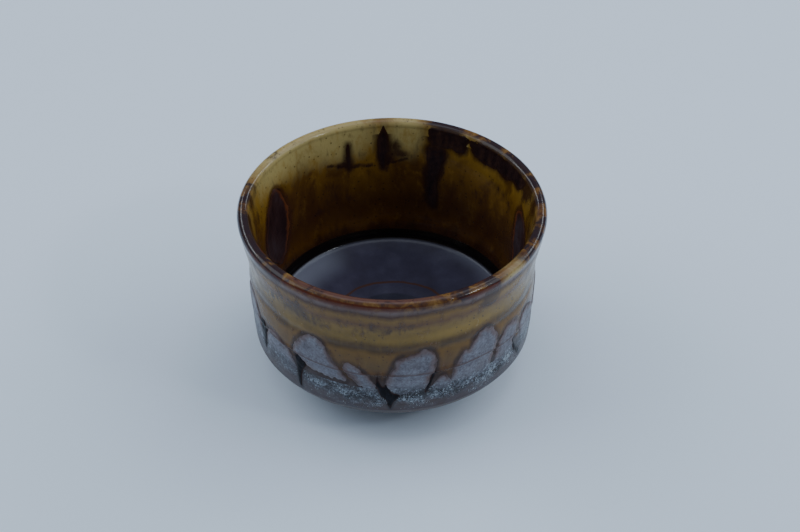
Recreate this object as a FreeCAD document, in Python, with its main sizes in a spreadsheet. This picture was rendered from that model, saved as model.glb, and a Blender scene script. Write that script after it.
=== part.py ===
"""A hand-thrown tea bowl: a clay wall and foot ring, and the glazes laid over them one after another.

Millimetres. The origin is on the table under the middle of the bowl, and +Z is up. Azimuths run
anticlockwise from +X, seen from above, so the bowl's front is at 270 degrees.
"""
import FreeCAD
import Part
import math
import os
import re
import Sketcher

DOCUMENT = FreeCAD.newDocument("tea_bowl")
SHEET = DOCUMENT.addObject("Spreadsheet::Sheet", "Sizes")

# ---------------------------------------------------------------- driving dimensions

SIZES = {
    # the whole bowl, glazed
    "height": 75.0,
    "rim_radius": 59.8,
    # thickness of each layer over the bare clay
    "glaze": 0.6,
    "petal_coat": 0.5,
    "run_coat": 0.3,
    "leaf_coat": 0.35,
    # outside of the bare clay, from the lip down
    "lip_radius": 1.8,
    "flare_radius": 58.7,
    "flare_height": 67.0,
    "flare_curve": 60.0,
    "neck_radius": 55.6,
    "neck_height": 50.0,
    "waist_radius": 55.1,
    "waist_height": 30.0,
    "arris_radius": 54.4,
    "arris_height": 18.8,
    "underside_curve": 30.0,
    "trimmed_radius": 32.0,
    # foot
    "foot_height": 6.0,
    "foot_top_radius": 31.0,
    "foot_base_radius": 29.5,
    "foot_inner_radius": 23.5,
    "foot_bevel": 0.8,
    "trimming_cone_radius": 12.0,
    "trimming_cone_drop": 1.0,
    # inside of the bare clay, from the lip down
    "inner_neck_radius": 53.7,
    "inner_neck_height": 60.0,
    "inner_waist_radius": 52.3,
    "inner_waist_height": 36.0,
    "inner_corner_curve": 18.0,
    "floor_edge_radius": 48.6,
    "floor_edge_height": 24.0,
    "dish_edge_radius": 47.5,
    "dish_edge_height": 19.0,
    "floor_curve": 90.0,
    "pool_radius": 22.0,
    "pool_edge_height": 14.6,
    "pool_dip": 1.8,
    # lines where one glaze ends and the next begins
    "rim_glaze_line": 69.5,
    "bare_clay_line": 9.5,
    "petal_foot": 22.0,
}

# Overglaze petals round the outside: azimuth, half width, height of the tip above the table.
PETALS = [
    (196.0, 8.9, 45.0),
    (219.0, 7.3, 39.5),
    (237.5, 9.2, 49.5),
    (257.0, 6.3, 42.0),
    (277.5, 8.7, 49.0),
    (291.0, 3.8, 34.5),
    (307.2, 8.0, 51.0),
    (323.5, 7.2, 44.0),
    (340.0, 6.8, 40.0),
    (358.0, 7.9, 46.0),
    (15.0, 6.9, 42.0),
    (33.0, 8.4, 50.0),
    (52.0, 7.3, 44.0),
    (70.0, 7.9, 48.0),
    (88.0, 6.8, 41.0),
    (106.0, 8.4, 50.0),
    (124.0, 6.9, 43.0),
    (142.0, 7.9, 47.0),
    (160.0, 6.8, 40.0),
    (178.0, 7.3, 45.0),
]

# Dark glaze runs down the outside: azimuth, half width at the top, height of the top, of the drip's end.
RUNS = [
    (208.5, 1.8, 39.0, 24.5),
    (231.0, 1.4, 35.5, 19.6),
    (266.0, 1.9, 36.0, 19.4),
    (284.2, 1.0, 37.5, 27.0),
    (330.6, 1.7, 38.0, 21.5),
    (24.0, 1.5, 37.0, 21.0),
    (79.5, 1.3, 36.0, 22.5),
    (132.5, 1.6, 38.0, 20.0),
    (168.5, 1.3, 36.0, 24.0),
]

# Leaf-shaped marks on the inside wall: name, azimuth, half width, height of the tip, of the lower point.
LEAVES = [
    ("leaf_left", 154.0, 9.3, 63.0, 28.0),
    ("leaf_right", 11.5, 8.2, 60.5, 29.0),
    ("leaf_front", 263.0, 8.8, 62.0, 29.0),
]

# Iron streaks down the inside wall: name, azimuth, half width, height of the top, of the drip's end.
STREAKS = [
    ("iron_streak_back", 94.0, 2.5, 73.4, 54.5),
    ("iron_streak_thin", 110.0, 1.0, 66.5, 55.0),
    ("iron_streak_wide", 69.5, 4.6, 64.5, 36.0),
]

# Patches of iron glaze on the inside of the lip: name, azimuth, half width, top, bottom.
PATCHES = [
    ("iron_patch_back", 65.5, 8.0, 73.2, 65.0),
    ("iron_patch_right", 36.0, 13.0, 73.0, 65.5),
]


def numbered(stem, count):
    """The names stem_01, stem_02 and so on."""
    return ["%s_%02d" % (stem, number) for number in range(1, count + 1)]


PETAL_NAMES = numbered("petal", len(PETALS))
RUN_NAMES = numbered("run", len(RUNS))


def name_sizes(piece, words, sizes):
    """Put one piece's own sizes with the others, each under the piece's name and a word."""
    for word, size in zip(words, sizes):
        SIZES["%s_%s" % (piece, word)] = size


for piece, sizes in zip(PETAL_NAMES, PETALS):
    name_sizes(piece, ("azimuth", "half_width", "tip"), sizes)
for piece, sizes in zip(RUN_NAMES, RUNS):
    name_sizes(piece, ("azimuth", "half_width", "top", "end"), sizes)
for piece, *sizes in LEAVES + STREAKS + PATCHES:
    name_sizes(piece, ("azimuth", "half_width", "top", "end"), sizes)

for row, (word, size) in enumerate(SIZES.items(), start=1):
    SHEET.set("A%d" % row, word)
    SHEET.set("B%d" % row, str(size))
    SHEET.setAlias("B%d" % row, word)
DOCUMENT.recompute()

# ---------------------------------------------------------------- helpers


def bound(formula):
    """The formula as another object reads it, with each word looked up in the sheet."""
    return re.sub(r"[a-z]\w*", lambda word: "Sizes." + word.group(), formula)


def size(formula):
    """The formula's value in millimetres."""
    return float(SHEET.evalExpression(formula))


def new_sketch(body, plane_role):
    """A sketch on one of the body's own origin planes."""
    sketch = body.newObject("Sketcher::SketchObject", body.Name + "_outline")
    plane = next(plane for plane in body.Origin.OriginFeatures if plane.Role == plane_role)
    sketch.AttachmentSupport = [(plane, "")]
    sketch.MapMode = "FlatFace"
    return sketch


def arc_between(start, end, radius, side):
    """The short arc from start to end, bulging to its left (side 1) or right (side -1)."""
    chord = end - start
    middle = (start + end) * 0.5
    across = FreeCAD.Vector(-chord.y, chord.x, 0) * (1.0 / chord.Length)
    rise = math.sqrt(max(radius * radius - chord.Length * chord.Length / 4, 0.0))
    centre = middle - across * (side * rise)
    angles = [math.atan2(point.y - centre.y, point.x - centre.x) for point in (start, end)]
    if side > 0:
        angles.reverse()
    circle = Part.Circle(centre, FreeCAD.Vector(0, 0, 1), radius)
    return Part.ArcOfCircle(circle, angles[0], angles[1])


def draw(sketch, corners, arcs):
    """Draw a closed outline through the corners, given as formulas.

    An edge is a line, or the arc that arcs gives for the number of its first corner, as the
    formula of its radius and the side it bulges to.
    """
    points = [FreeCAD.Vector(size(across), size(up), 0) for across, up in corners]
    ends = []
    for number, start in enumerate(points):
        end = points[(number + 1) % len(points)]
        if number in arcs:
            radius, side = arcs[number]
            edge = sketch.addGeometry(arc_between(start, end, size(radius), side), False)
            ends.append((2, 1) if side > 0 else (1, 2))
            at = sketch.addConstraint(Sketcher.Constraint("Radius", edge, size(radius)))
            sketch.setExpression("Constraints[%d]" % at, bound(radius))
        else:
            sketch.addGeometry(Part.LineSegment(start, end), False)
            ends.append((1, 2))
    for number, (across, up) in enumerate(corners):
        before = (number - 1) % len(points)
        first = ends[number][0]
        sketch.addConstraint(Sketcher.Constraint("Coincident", before, ends[before][1], number, first))
        for kind, axis, formula in (("DistanceX", -2, across), ("DistanceY", -1, up)):
            if formula == "0":
                sketch.addConstraint(Sketcher.Constraint("PointOnObject", number, first, axis))
                continue
            constraint = Sketcher.Constraint(kind, -1, 1, number, first, size(formula))
            at = sketch.addConstraint(constraint)
            sketch.setExpression("Constraints[%d]" % at, bound(formula))


def turned(name, corners, arcs):
    """A body of revolution about the bowl's axis."""
    body = DOCUMENT.addObject("PartDesign::Body", name)
    sketch = new_sketch(body, "XZ_Plane")
    draw(sketch, corners, arcs)
    turn = body.newObject("PartDesign::Revolution", name + "_turn")
    turn.Profile = sketch
    turn.ReferenceAxis = (sketch, ["V_Axis"])
    turn.Angle = 360.0
    sketch.Visibility = False
    return body


def stamp(name, corners, arcs):
    """An outline pushed out through the wall at the piece's azimuth: X is across it and Y is up."""
    body = DOCUMENT.addObject("PartDesign::Body", name + "_stamp")
    sketch = new_sketch(body, "XZ_Plane")
    draw(sketch, corners, arcs)
    pad = body.newObject("PartDesign::Pad", name + "_pad")
    pad.Profile = sketch
    pad.setExpression("Length", bound("rim_radius + glaze"))
    body.Placement = FreeCAD.Placement(FreeCAD.Vector(), FreeCAD.Rotation(FreeCAD.Vector(0, 0, 1), 1))
    body.setExpression("Placement.Rotation.Angle", bound(name + "_azimuth") + " + 90")
    sketch.Visibility = False
    return body


def boolean(kind, name, base, tool):
    """Part::Cut or Part::Common of two objects."""
    result = DOCUMENT.addObject("Part::" + kind, name)
    result.Base = base
    result.Tool = tool
    return result


def cut(name, base, tool):
    return boolean("Cut", name, base, tool)


def common(name, base, tool):
    return boolean("Common", name, base, tool)


def fused(name, shapes):
    result = DOCUMENT.addObject("Part::MultiFuse", name)
    result.Shapes = shapes
    return result


def band(name, low, high, radius="rim_radius + glaze"):
    """Everything between two heights, out to a radius."""
    slab = DOCUMENT.addObject("Part::Cylinder", name)
    slab.setExpression("Radius", bound(radius))
    slab.setExpression("Height", bound("(%s) - (%s)" % (high, low)))
    slab.setExpression("Placement.Base.z", bound(low))
    return slab


# ---------------------------------------------------------------- turned forms


def outside_form(name, coat):
    """The bowl as a solid lump, with a coat of the given thickness over the bare clay."""
    corners = [
        ("0", "foot_height - (%s)" % coat),
        ("trimmed_radius", "foot_height - (%s)" % coat),
        ("arris_radius + %s" % coat, "arris_height - (%s) / 2" % coat),
        ("waist_radius + %s" % coat, "waist_height"),
        ("neck_radius + %s" % coat, "neck_height"),
        ("flare_radius + %s" % coat, "flare_height"),
        ("rim_radius - glaze + %s" % coat, "height - glaze - lip_radius"),
        ("rim_radius - glaze - lip_radius", "height - glaze + %s" % coat),
        ("0", "height - glaze + %s" % coat),
    ]
    arcs = {
        1: ("underside_curve", -1),
        4: ("flare_curve", 1),
        6: ("lip_radius + %s" % coat, -1),
    }
    return turned(name, corners, arcs)


def inside_form(name, coat):
    """The space in the bowl, less a coat of the given thickness over the bare clay."""
    pool_curve = "(pool_radius * pool_radius + pool_dip * pool_dip) / (2 * pool_dip)"
    corners = [
        ("0", "pool_edge_height - pool_dip + %s" % coat),
        ("pool_radius", "pool_edge_height + %s" % coat),
        ("dish_edge_radius - (%s)" % coat, "dish_edge_height + %s" % coat),
        ("floor_edge_radius - (%s)" % coat, "floor_edge_height + %s" % coat),
        ("inner_waist_radius - (%s)" % coat, "inner_waist_height"),
        ("inner_neck_radius - (%s)" % coat, "inner_neck_height"),
        ("rim_radius - glaze - 2 * lip_radius - (%s)" % coat, "height - glaze - lip_radius"),
        ("rim_radius - glaze - lip_radius", "height - glaze + %s" % coat),
        ("rim_radius - glaze - lip_radius", "height + flare_curve / 6"),
        ("0", "height + flare_curve / 6"),
    ]
    arcs = {
        0: (pool_curve, -1),
        1: ("floor_curve", -1),
        3: ("inner_corner_curve", -1),
        6: ("lip_radius + %s" % coat, 1),
    }
    return turned(name, corners, arcs)


BARE_OUTSIDE = outside_form("bare_outside", "0")
GLAZED_OUTSIDE = outside_form("glazed_outside", "glaze")
PETAL_OUTSIDE = outside_form("petal_outside", "glaze + petal_coat")
RUN_OUTSIDE = outside_form("run_outside", "glaze + petal_coat + run_coat")
BARE_INSIDE = inside_form("bare_inside", "0")
GLAZED_INSIDE = inside_form("glazed_inside", "glaze")
MARKED_INSIDE = inside_form("marked_inside", "glaze + leaf_coat")

# ---------------------------------------------------------------- clay


def make_clay_body():
    """The thrown wall and floor, with the low cone that the trimming tool leaves inside the foot."""
    cone = turned(
        "trimming_cone",
        [
            ("0", "foot_height - trimming_cone_drop"),
            ("trimming_cone_radius", "foot_height"),
            ("0", "foot_height + trimming_cone_drop"),
        ],
        {},
    )
    lump = fused("clay_lump", [BARE_OUTSIDE, cone])
    return cut("clay_body", lump, BARE_INSIDE)


def make_foot_ring():
    """The foot ring, bevelled where it meets the table."""
    corners = [
        ("foot_inner_radius + foot_bevel", "0"),
        ("foot_base_radius - foot_bevel", "0"),
        ("foot_base_radius", "foot_bevel"),
        ("foot_top_radius", "foot_height"),
        ("foot_inner_radius", "foot_height"),
        ("foot_inner_radius", "foot_bevel"),
    ]
    return turned("foot_ring", corners, {})


CLAY_BODY = make_clay_body()
FOOT_RING = make_foot_ring()

# ---------------------------------------------------------------- base glazes

GLAZED_BOWL = cut("glazed_bowl", GLAZED_OUTSIDE, GLAZED_INSIDE)
ALL_GLAZE = cut("all_glaze", GLAZED_BOWL, CLAY_BODY)
INSIDE_GLAZE = cut("inside_glaze", BARE_INSIDE, GLAZED_INSIDE)
OUTSIDE_GLAZE = cut("outside_glaze", GLAZED_OUTSIDE, BARE_OUTSIDE)
HIP_COAT = cut("hip_coat", PETAL_OUTSIDE, BARE_OUTSIDE)
POOL = band("pool", "0", "inner_waist_height", "pool_radius")

RIM_GLAZE = common("rim_glaze", ALL_GLAZE, band("rim_band", "rim_glaze_line", "height + glaze"))
UPPER_GLAZE = common("upper_glaze", OUTSIDE_GLAZE, band("wall_band", "waist_height", "rim_glaze_line"))
HIP_GLAZE = common("hip_glaze", HIP_COAT, band("hip_band", "bare_clay_line", "waist_height"))
INNER_WALL_GLAZE = common(
    "inner_wall_glaze", INSIDE_GLAZE, band("inner_wall_band", "floor_edge_height + glaze", "rim_glaze_line")
)
WHOLE_FLOOR = common("whole_floor", INSIDE_GLAZE, band("floor_band", "0", "floor_edge_height + glaze"))
FLOOR_GLAZE = cut("floor_glaze", WHOLE_FLOOR, POOL)
POOL_GLAZE = common("pool_glaze", WHOLE_FLOOR, POOL)

# ---------------------------------------------------------------- petals, runs, leaves and streaks

PETAL_LAYER = common(
    "petal_layer",
    cut("petal_skin", PETAL_OUTSIDE, GLAZED_OUTSIDE),
    band("petal_band", "waist_height", "rim_glaze_line"),
)
MARK_LAYER = cut("mark_layer", GLAZED_INSIDE, MARKED_INSIDE)


def make_petal(name):
    """A round-topped petal standing on the hip glaze."""
    half, tip = name + "_half_width", name + "_tip"
    shoulder = "%s - %s" % (tip, half)
    corners = [
        ("-" + half, "petal_foot"),
        (half, "petal_foot"),
        (half, shoulder),
        ("0", tip),
        ("-" + half, shoulder),
    ]
    outline = stamp(name, corners, {2: (half, -1), 3: (half, -1)})
    return common(name, PETAL_LAYER, outline)


def drip_outline(name):
    """The corners and arcs of a drip that narrows from its top to a round end."""
    half, top, end = name + "_half_width", name + "_top", name + "_end"
    tip = half + " * 0.6"
    corners = [
        ("-" + half, top),
        ("-" + tip, "%s + %s" % (end, tip)),
        ("0", end),
        (tip, "%s + %s" % (end, tip)),
        (half, top),
    ]
    return corners, {1: (tip, -1), 2: (tip, -1)}


def make_run(name, coats):
    """A dark run over the hip glaze and between the petals."""
    outline = stamp(name, *drip_outline(name))
    thick = common(name + "_thick", RUN_OUTSIDE, outline)
    skin = cut(name + "_skin", thick, GLAZED_OUTSIDE)
    return cut(name, skin, coats)


def make_leaf(name):
    """A leaf-shaped mark between two arcs."""
    half, top, end = name + "_half_width", name + "_top", name + "_end"
    length = "(%s - %s)" % (top, end)
    curve = "(%s * %s / 4 + %s * %s) / (2 * %s)" % (length, length, half, half, half)
    outline = stamp(name, [("0", top), ("0", end)], {0: (curve, -1), 1: (curve, -1)})
    return common(name, MARK_LAYER, outline)


def make_streak(name):
    """A streak of iron glaze that runs down the inside wall."""
    return common(name, MARK_LAYER, stamp(name, *drip_outline(name)))


def make_patch(name):
    """A straight-edged patch of iron glaze along the lip."""
    half, top, end = name + "_half_width", name + "_top", name + "_end"
    corners = [("-" + half, top), ("-" + half, end), (half, end), (half, top)]
    return common(name, MARK_LAYER, stamp(name, corners, {}))


PETAL_PIECES = [make_petal(name) for name in PETAL_NAMES]
COATS = fused("hip_and_petals", [HIP_GLAZE] + PETAL_PIECES)
RUN_PIECES = [make_run(name, COATS) for name in RUN_NAMES]
LEAF_PIECES = [make_leaf(leaf[0]) for leaf in LEAVES]
STREAK_PIECES = [make_streak(streak[0]) for streak in STREAKS]
PATCH_PIECES = [make_patch(patch[0]) for patch in PATCHES]

# ---------------------------------------------------------------- check and write

NODES = [CLAY_BODY, FOOT_RING, RIM_GLAZE, UPPER_GLAZE, HIP_GLAZE, INNER_WALL_GLAZE, FLOOR_GLAZE]
NODES += [POOL_GLAZE] + PETAL_PIECES + RUN_PIECES + LEAF_PIECES + STREAK_PIECES + PATCH_PIECES

DOCUMENT.recompute()
for thing in DOCUMENT.Objects:
    if "Invalid" in thing.State or "Error" in thing.State:
        raise RuntimeError("%s did not rebuild: %s" % (thing.Label, thing.State))

os.makedirs("parts", exist_ok=True)
for node in NODES:
    node.Label = node.Name
    if node.Shape.isNull() or not node.Shape.isValid() or not node.Shape.Solids:
        raise RuntimeError("%s has no sound solid" % node.Label)
    node.Shape.exportStep("parts/%s.step" % node.Label)
    print("%-20s %9.1f mm3 %d solid(s)" % (node.Label, node.Shape.Volume, len(node.Shape.Solids)))
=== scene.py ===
"""A hand-thrown tea bowl: a turned clay body, poured amber glazes, brushed lilac petals and dark runs."""
import math
import bmesh
import bpy
import numpy as np
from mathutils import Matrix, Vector


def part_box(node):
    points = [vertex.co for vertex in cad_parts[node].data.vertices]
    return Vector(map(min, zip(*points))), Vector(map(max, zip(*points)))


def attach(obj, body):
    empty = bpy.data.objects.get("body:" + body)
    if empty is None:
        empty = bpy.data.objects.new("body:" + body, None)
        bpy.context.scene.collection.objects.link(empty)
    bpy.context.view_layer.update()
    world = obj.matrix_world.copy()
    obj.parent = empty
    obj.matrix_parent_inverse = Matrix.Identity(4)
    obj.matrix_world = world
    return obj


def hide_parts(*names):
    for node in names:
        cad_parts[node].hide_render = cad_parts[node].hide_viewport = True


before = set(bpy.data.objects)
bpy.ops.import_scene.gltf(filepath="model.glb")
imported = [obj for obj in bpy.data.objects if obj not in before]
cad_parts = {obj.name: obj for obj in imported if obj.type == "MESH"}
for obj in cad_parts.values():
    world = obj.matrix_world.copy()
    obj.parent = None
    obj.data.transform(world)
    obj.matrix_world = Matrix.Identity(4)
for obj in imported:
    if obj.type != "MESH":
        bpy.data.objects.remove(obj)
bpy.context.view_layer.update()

MM = 0.001

# ------------------------------------------------------------------ sizes, from the frame

RIM_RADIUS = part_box("rim_glaze")[1].x / MM
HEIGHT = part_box("rim_glaze")[1].z / MM
RIM_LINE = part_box("rim_glaze")[0].z / MM
WAIST_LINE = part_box("upper_glaze")[0].z / MM
BARE_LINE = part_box("hip_glaze")[0].z / MM
FLOOR_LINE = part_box("inner_wall_glaze")[0].z / MM
FLOOR_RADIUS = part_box("floor_glaze")[1].x / MM
POOL_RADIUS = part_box("pool_glaze")[1].x / MM
FOOT_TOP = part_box("foot_ring")[1].z / MM

GLAZE = 0.6
LIP_BEAD = 2.4
LIP_CENTRE = (RIM_RADIUS - LIP_BEAD - 0.1, HEIGHT - LIP_BEAD)
ARRIS = (55.3, 18.4)
FLOOR_EDGE = (FLOOR_RADIUS - 0.1, FLOOR_LINE)
POOL_EDGE = (POOL_RADIUS, 15.1)
FLOOR_MIDDLE = 13.4

# ------------------------------------------------------------------ profile lines, in millimetres


def arc(centre, radius, start, end, count):
    """Points on a circle between two angles in degrees."""
    angles = np.radians(np.linspace(start, end, count))
    return np.column_stack([centre[0] + radius * np.cos(angles), centre[1] + radius * np.sin(angles)])


def smooth_line(corners, step=0.45):
    """A smooth curve through the corners, as points about one step apart."""
    corners = np.asarray(corners, float)
    padded = np.vstack([2 * corners[0] - corners[1], corners, 2 * corners[-1] - corners[-2]])
    pieces = []
    for before, start, end, after in zip(padded, padded[1:], padded[2:], padded[3:]):
        count = max(2, int(round(np.linalg.norm(end - start) / step)))
        t = np.linspace(0, 1, count, endpoint=False)[:, None]
        lead = (end - before) * 0.5
        trail = (after - start) * 0.5
        pieces.append(
            (2 * t**3 - 3 * t**2 + 1) * start
            + (t**3 - 2 * t**2 + t) * lead
            + (3 * t**2 - 2 * t**3) * end
            + (t**3 - t**2) * trail
        )
    return np.vstack(pieces + [corners[-1:]])


UNDERSIDE = smooth_line([(44.6, BARE_LINE), (48.9, 11.3), (52.1, 14.0), (54.2, 16.6), ARRIS])
WALL = smooth_line(
    [ARRIS, (55.75, 24.0), (55.9, WAIST_LINE), (56.1, 36.6), (56.3, 42.6), (56.3, 48.6), (56.5, 54.6),
     (57.3, 60.0), (58.4, 65.2), (58.9, 68.0), (59.1, RIM_LINE),
     (LIP_CENTRE[0] + LIP_BEAD * 0.97, LIP_CENTRE[1] - 0.6)]
)
LIP = arc(LIP_CENTRE, LIP_BEAD, -10, 186, 28)
INNER_WALL = smooth_line(
    [LIP[-1], (54.4, RIM_LINE), (53.6, 64.0), (53.0, 58.0), (52.5, 50.0), (52.0, 42.0), (51.5, 36.0),
     (50.7, 30.6), (49.6, 27.3), FLOOR_EDGE]
)
DISH = smooth_line(
    [FLOOR_EDGE, (48.1, 22.6), (47.7, 21.2), (47.1, 20.2), (46.0, 19.6), (44.0, 19.0), (41.0, 18.2),
     (36.0, 17.1), (28.0, 15.75), POOL_EDGE]
)
POOL = smooth_line([POOL_EDGE, (18.5, 14.6), (13.0, 14.0), (7.0, 13.55), (0.0, FLOOR_MIDDLE)])


def joined(*lines):
    """Lines end to end, without the points that they share."""
    points = [line if number == 0 else line[1:] for number, line in enumerate(lines)]
    return np.vstack(points)


def clipped(line, height, side):
    """The part of a wall line above (side 1) or below (side -1) a height, with a point on it."""
    order = np.argsort(line[:, 1])
    crossing = np.interp(height, line[order, 1], line[order, 0])
    keep = (line[:, 1] - height) * side > 0.05
    kept = line[keep]
    cut_point = np.array([[crossing, height]])
    return np.vstack([kept, cut_point]) if keep[0] else np.vstack([cut_point, kept])


def above(line, height):
    return clipped(line, height, 1)


def below(line, height):
    return clipped(line, height, -1)


def inset(line, depth):
    """The line moved to its left by a depth, thinned to a few points: a skin's hidden back."""
    ahead = np.gradient(line, axis=0)
    ahead /= np.maximum(np.linalg.norm(ahead, axis=1, keepdims=True), 1e-9)
    moved = line + np.column_stack([-ahead[:, 1], ahead[:, 0]]) * depth
    moved[:, 0] = np.where(line[:, 0] < 0.01, 0.0, np.maximum(moved[:, 0], 0.0))
    picks = np.unique(np.linspace(0, len(line) - 1, max(4, len(line) // 8)).astype(int))
    return moved[picks]


def skin(line, depth=GLAZE):
    """A closed outline: the glaze's face, then its back."""
    return np.vstack([line, inset(line, depth)[::-1]])


# ------------------------------------------------------------------ node tree helpers


class Nodes:
    """Adds nodes to a tree and links them in one call."""

    def __init__(self, tree):
        self.tree = tree

    def add(self, kind, inputs=None, **settings):
        node = self.tree.nodes.new(kind)
        for name, value in settings.items():
            setattr(node, name, value)
        for name, value in (inputs or {}).items():
            if isinstance(value, bpy.types.NodeSocket):
                self.tree.links.new(value, node.inputs[name])
            elif value is not None:
                node.inputs[name].default_value = value
        return node

    def math(self, operation, first, second=None, third=None):
        node = self.add("ShaderNodeMath", {0: first, 1: second, 2: third}, operation=operation)
        return node.outputs[0]

    def vector(self, operation, first, second=None, scale=None):
        node = self.add("ShaderNodeVectorMath", {0: first, 1: second, "Scale": scale}, operation=operation)
        return node.outputs["Value" if operation in ("LENGTH", "DOT_PRODUCT") else "Vector"]

    def combine(self, across=0.0, deep=0.0, up=0.0):
        return self.add("ShaderNodeCombineXYZ", {"X": across, "Y": deep, "Z": up}).outputs[0]

    def separate(self, vector):
        return self.add("ShaderNodeSeparateXYZ", {0: vector}).outputs

    def noise(self, vector, scale, detail=2.0, roughness=0.5, distortion=0.0):
        sizes = {"Vector": vector, "Scale": scale, "Detail": detail, "Roughness": roughness}
        sizes["Distortion"] = distortion
        return self.add("ShaderNodeTexNoise", sizes).outputs[0]

    def noise_colour(self, vector, scale):
        return self.add("ShaderNodeTexNoise", {"Vector": vector, "Scale": scale}).outputs[1]

    def cells(self, vector, scale):
        """Distance to the nearest cell's middle, and a random number for the cell."""
        node = self.add("ShaderNodeTexVoronoi", {"Vector": vector, "Scale": scale})
        return node.outputs["Distance"], self.separate(node.outputs["Color"])[0]

    def attribute(self, name):
        return self.add("ShaderNodeAttribute", attribute_name=name).outputs["Fac"]

    def ramp(self, value, stops):
        """A colour read off a row of (place, colour) stops."""
        node = self.add("ShaderNodeValToRGB", {0: value})
        elements = node.color_ramp.elements
        while len(elements) < len(stops):
            elements.new(0.5)
        for element, (place, colour) in zip(elements, stops):
            element.position = place
            element.color = (*colour, 1.0)
        return node.outputs[0]

    def mix(self, factor, first, second):
        """The first colour, or the second where the factor is 1."""
        node = self.add("ShaderNodeMix", data_type="RGBA")
        sockets = (node.inputs["Factor"], node.inputs[6], node.inputs[7])
        for socket, value in zip(sockets, (factor, first, second)):
            if isinstance(value, bpy.types.NodeSocket):
                self.tree.links.new(value, socket)
            else:
                socket.default_value = value if isinstance(value, float) else (*value, 1.0)
        return node.outputs[2]

    def spread(self, value, low, high, to_low=0.0, to_high=1.0, smooth=True):
        """Maps low..high to to_low..to_high, and holds the ends."""
        sizes = {"Value": value, "From Min": low, "From Max": high, "To Min": to_low, "To Max": to_high}
        kind = "SMOOTHSTEP" if smooth else "LINEAR"
        return self.add("ShaderNodeMapRange", sizes, interpolation_type=kind).outputs[0]


def geometry_tree(name, inputs):
    """A Geometry Nodes tree with a geometry in and out, and named inputs: (name, socket type)."""
    tree = bpy.data.node_groups.new(name, "GeometryNodeTree")
    tree.interface.new_socket("Geometry", in_out="INPUT", socket_type="NodeSocketGeometry")
    for label, kind in inputs:
        tree.interface.new_socket(label, in_out="INPUT", socket_type="NodeSocket" + kind)
    tree.interface.new_socket("Geometry", in_out="OUTPUT", socket_type="NodeSocketGeometry")
    nodes = Nodes(tree)
    entry = nodes.add("NodeGroupInput")
    return tree, nodes, entry


CREASE_ANGLE = 0.7  # radians


def smooth_faces(nodes, geometry):
    """Smooth shading that stays crisp at creases."""
    smooth = nodes.add("GeometryNodeSetShadeSmooth", {0: geometry}).outputs[0]
    angle = nodes.add("GeometryNodeInputMeshEdgeAngle").outputs[0]
    crease = nodes.math("GREATER_THAN", angle, CREASE_ANGLE)
    sharp = {"Geometry": smooth, "Selection": crease, "Shade Smooth": False}
    return nodes.add("GeometryNodeSetShadeSmooth", sharp, domain="EDGE").outputs[0]


def finish_tree(nodes, entry, geometry):
    """Ends a tree in Realize Instances and Set Material."""
    real = nodes.add("GeometryNodeRealizeInstances", {0: geometry}).outputs[0]
    coated = nodes.add("GeometryNodeSetMaterial", {"Geometry": real, "Material": entry.outputs["Material"]})
    nodes.add("NodeGroupOutput", {0: coated.outputs[0]})


def baked(name, source_mesh, tree, values):
    """Runs a tree on a mesh with the given input values and returns the result as a plain mesh object."""
    holder = bpy.data.objects.new(name + "_making", source_mesh)
    bpy.context.scene.collection.objects.link(holder)
    modifier = holder.modifiers.new("making", "NODES")
    modifier.node_group = tree
    for item in tree.interface.items_tree:
        if item.in_out == "INPUT" and item.name in values:
            modifier[item.identifier] = values[item.name]
    bpy.context.view_layer.update()
    evaluated = holder.evaluated_get(bpy.context.evaluated_depsgraph_get())
    mesh = bpy.data.meshes.new_from_object(evaluated)
    holder.modifiers.remove(modifier)
    bpy.data.objects.remove(holder)
    mesh.name = name
    piece = bpy.data.objects.new(name, mesh)
    bpy.context.scene.collection.objects.link(piece)
    return piece


# ------------------------------------------------------------------ thrown form

SEED = 7.0
WOBBLE = 0.35
RING_RELIEF = 0.16
HAND_RELIEF = 0.10


def add_thrown_relief(nodes, entry, position):
    """The offset that the thrower's hand leaves: slow wobble, level rings and soft dents."""
    across, deep, up = nodes.separate(position)[:3]
    flat = nodes.combine(across, deep, 0.0)
    outward = nodes.vector("NORMALIZE", flat)
    from_axis = nodes.vector("LENGTH", flat)
    side = nodes.separate(outward)
    seed = entry.outputs["Seed"]
    slow = nodes.combine(side[0], side[1], nodes.math("MULTIPLY_ADD", up, 9.0, seed))
    wobble = nodes.math("SUBTRACT", nodes.noise(slow, 0.9, 1.0), 0.5)
    turned = nodes.combine(
        nodes.math("MULTIPLY", side[0], 0.5),
        nodes.math("MULTIPLY", side[1], 0.5),
        nodes.math("MULTIPLY_ADD", up, 210.0, seed),
    )
    rings = nodes.math("SUBTRACT", nodes.noise(turned, 1.0, 2.0), 0.5)
    dents = nodes.math("SUBTRACT", nodes.noise(position, 75.0, 1.5), 0.5)
    total = nodes.math("MULTIPLY", wobble, entry.outputs["Wobble"])
    total = nodes.math("MULTIPLY_ADD", rings, entry.outputs["Ring relief"], total)
    total = nodes.math("MULTIPLY_ADD", dents, entry.outputs["Hand relief"], total)
    near_axis = nodes.spread(from_axis, 0.004, 0.02)
    total = nodes.math("MULTIPLY", total, near_axis)
    return nodes.vector("SCALE", outward, None, total)


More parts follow.
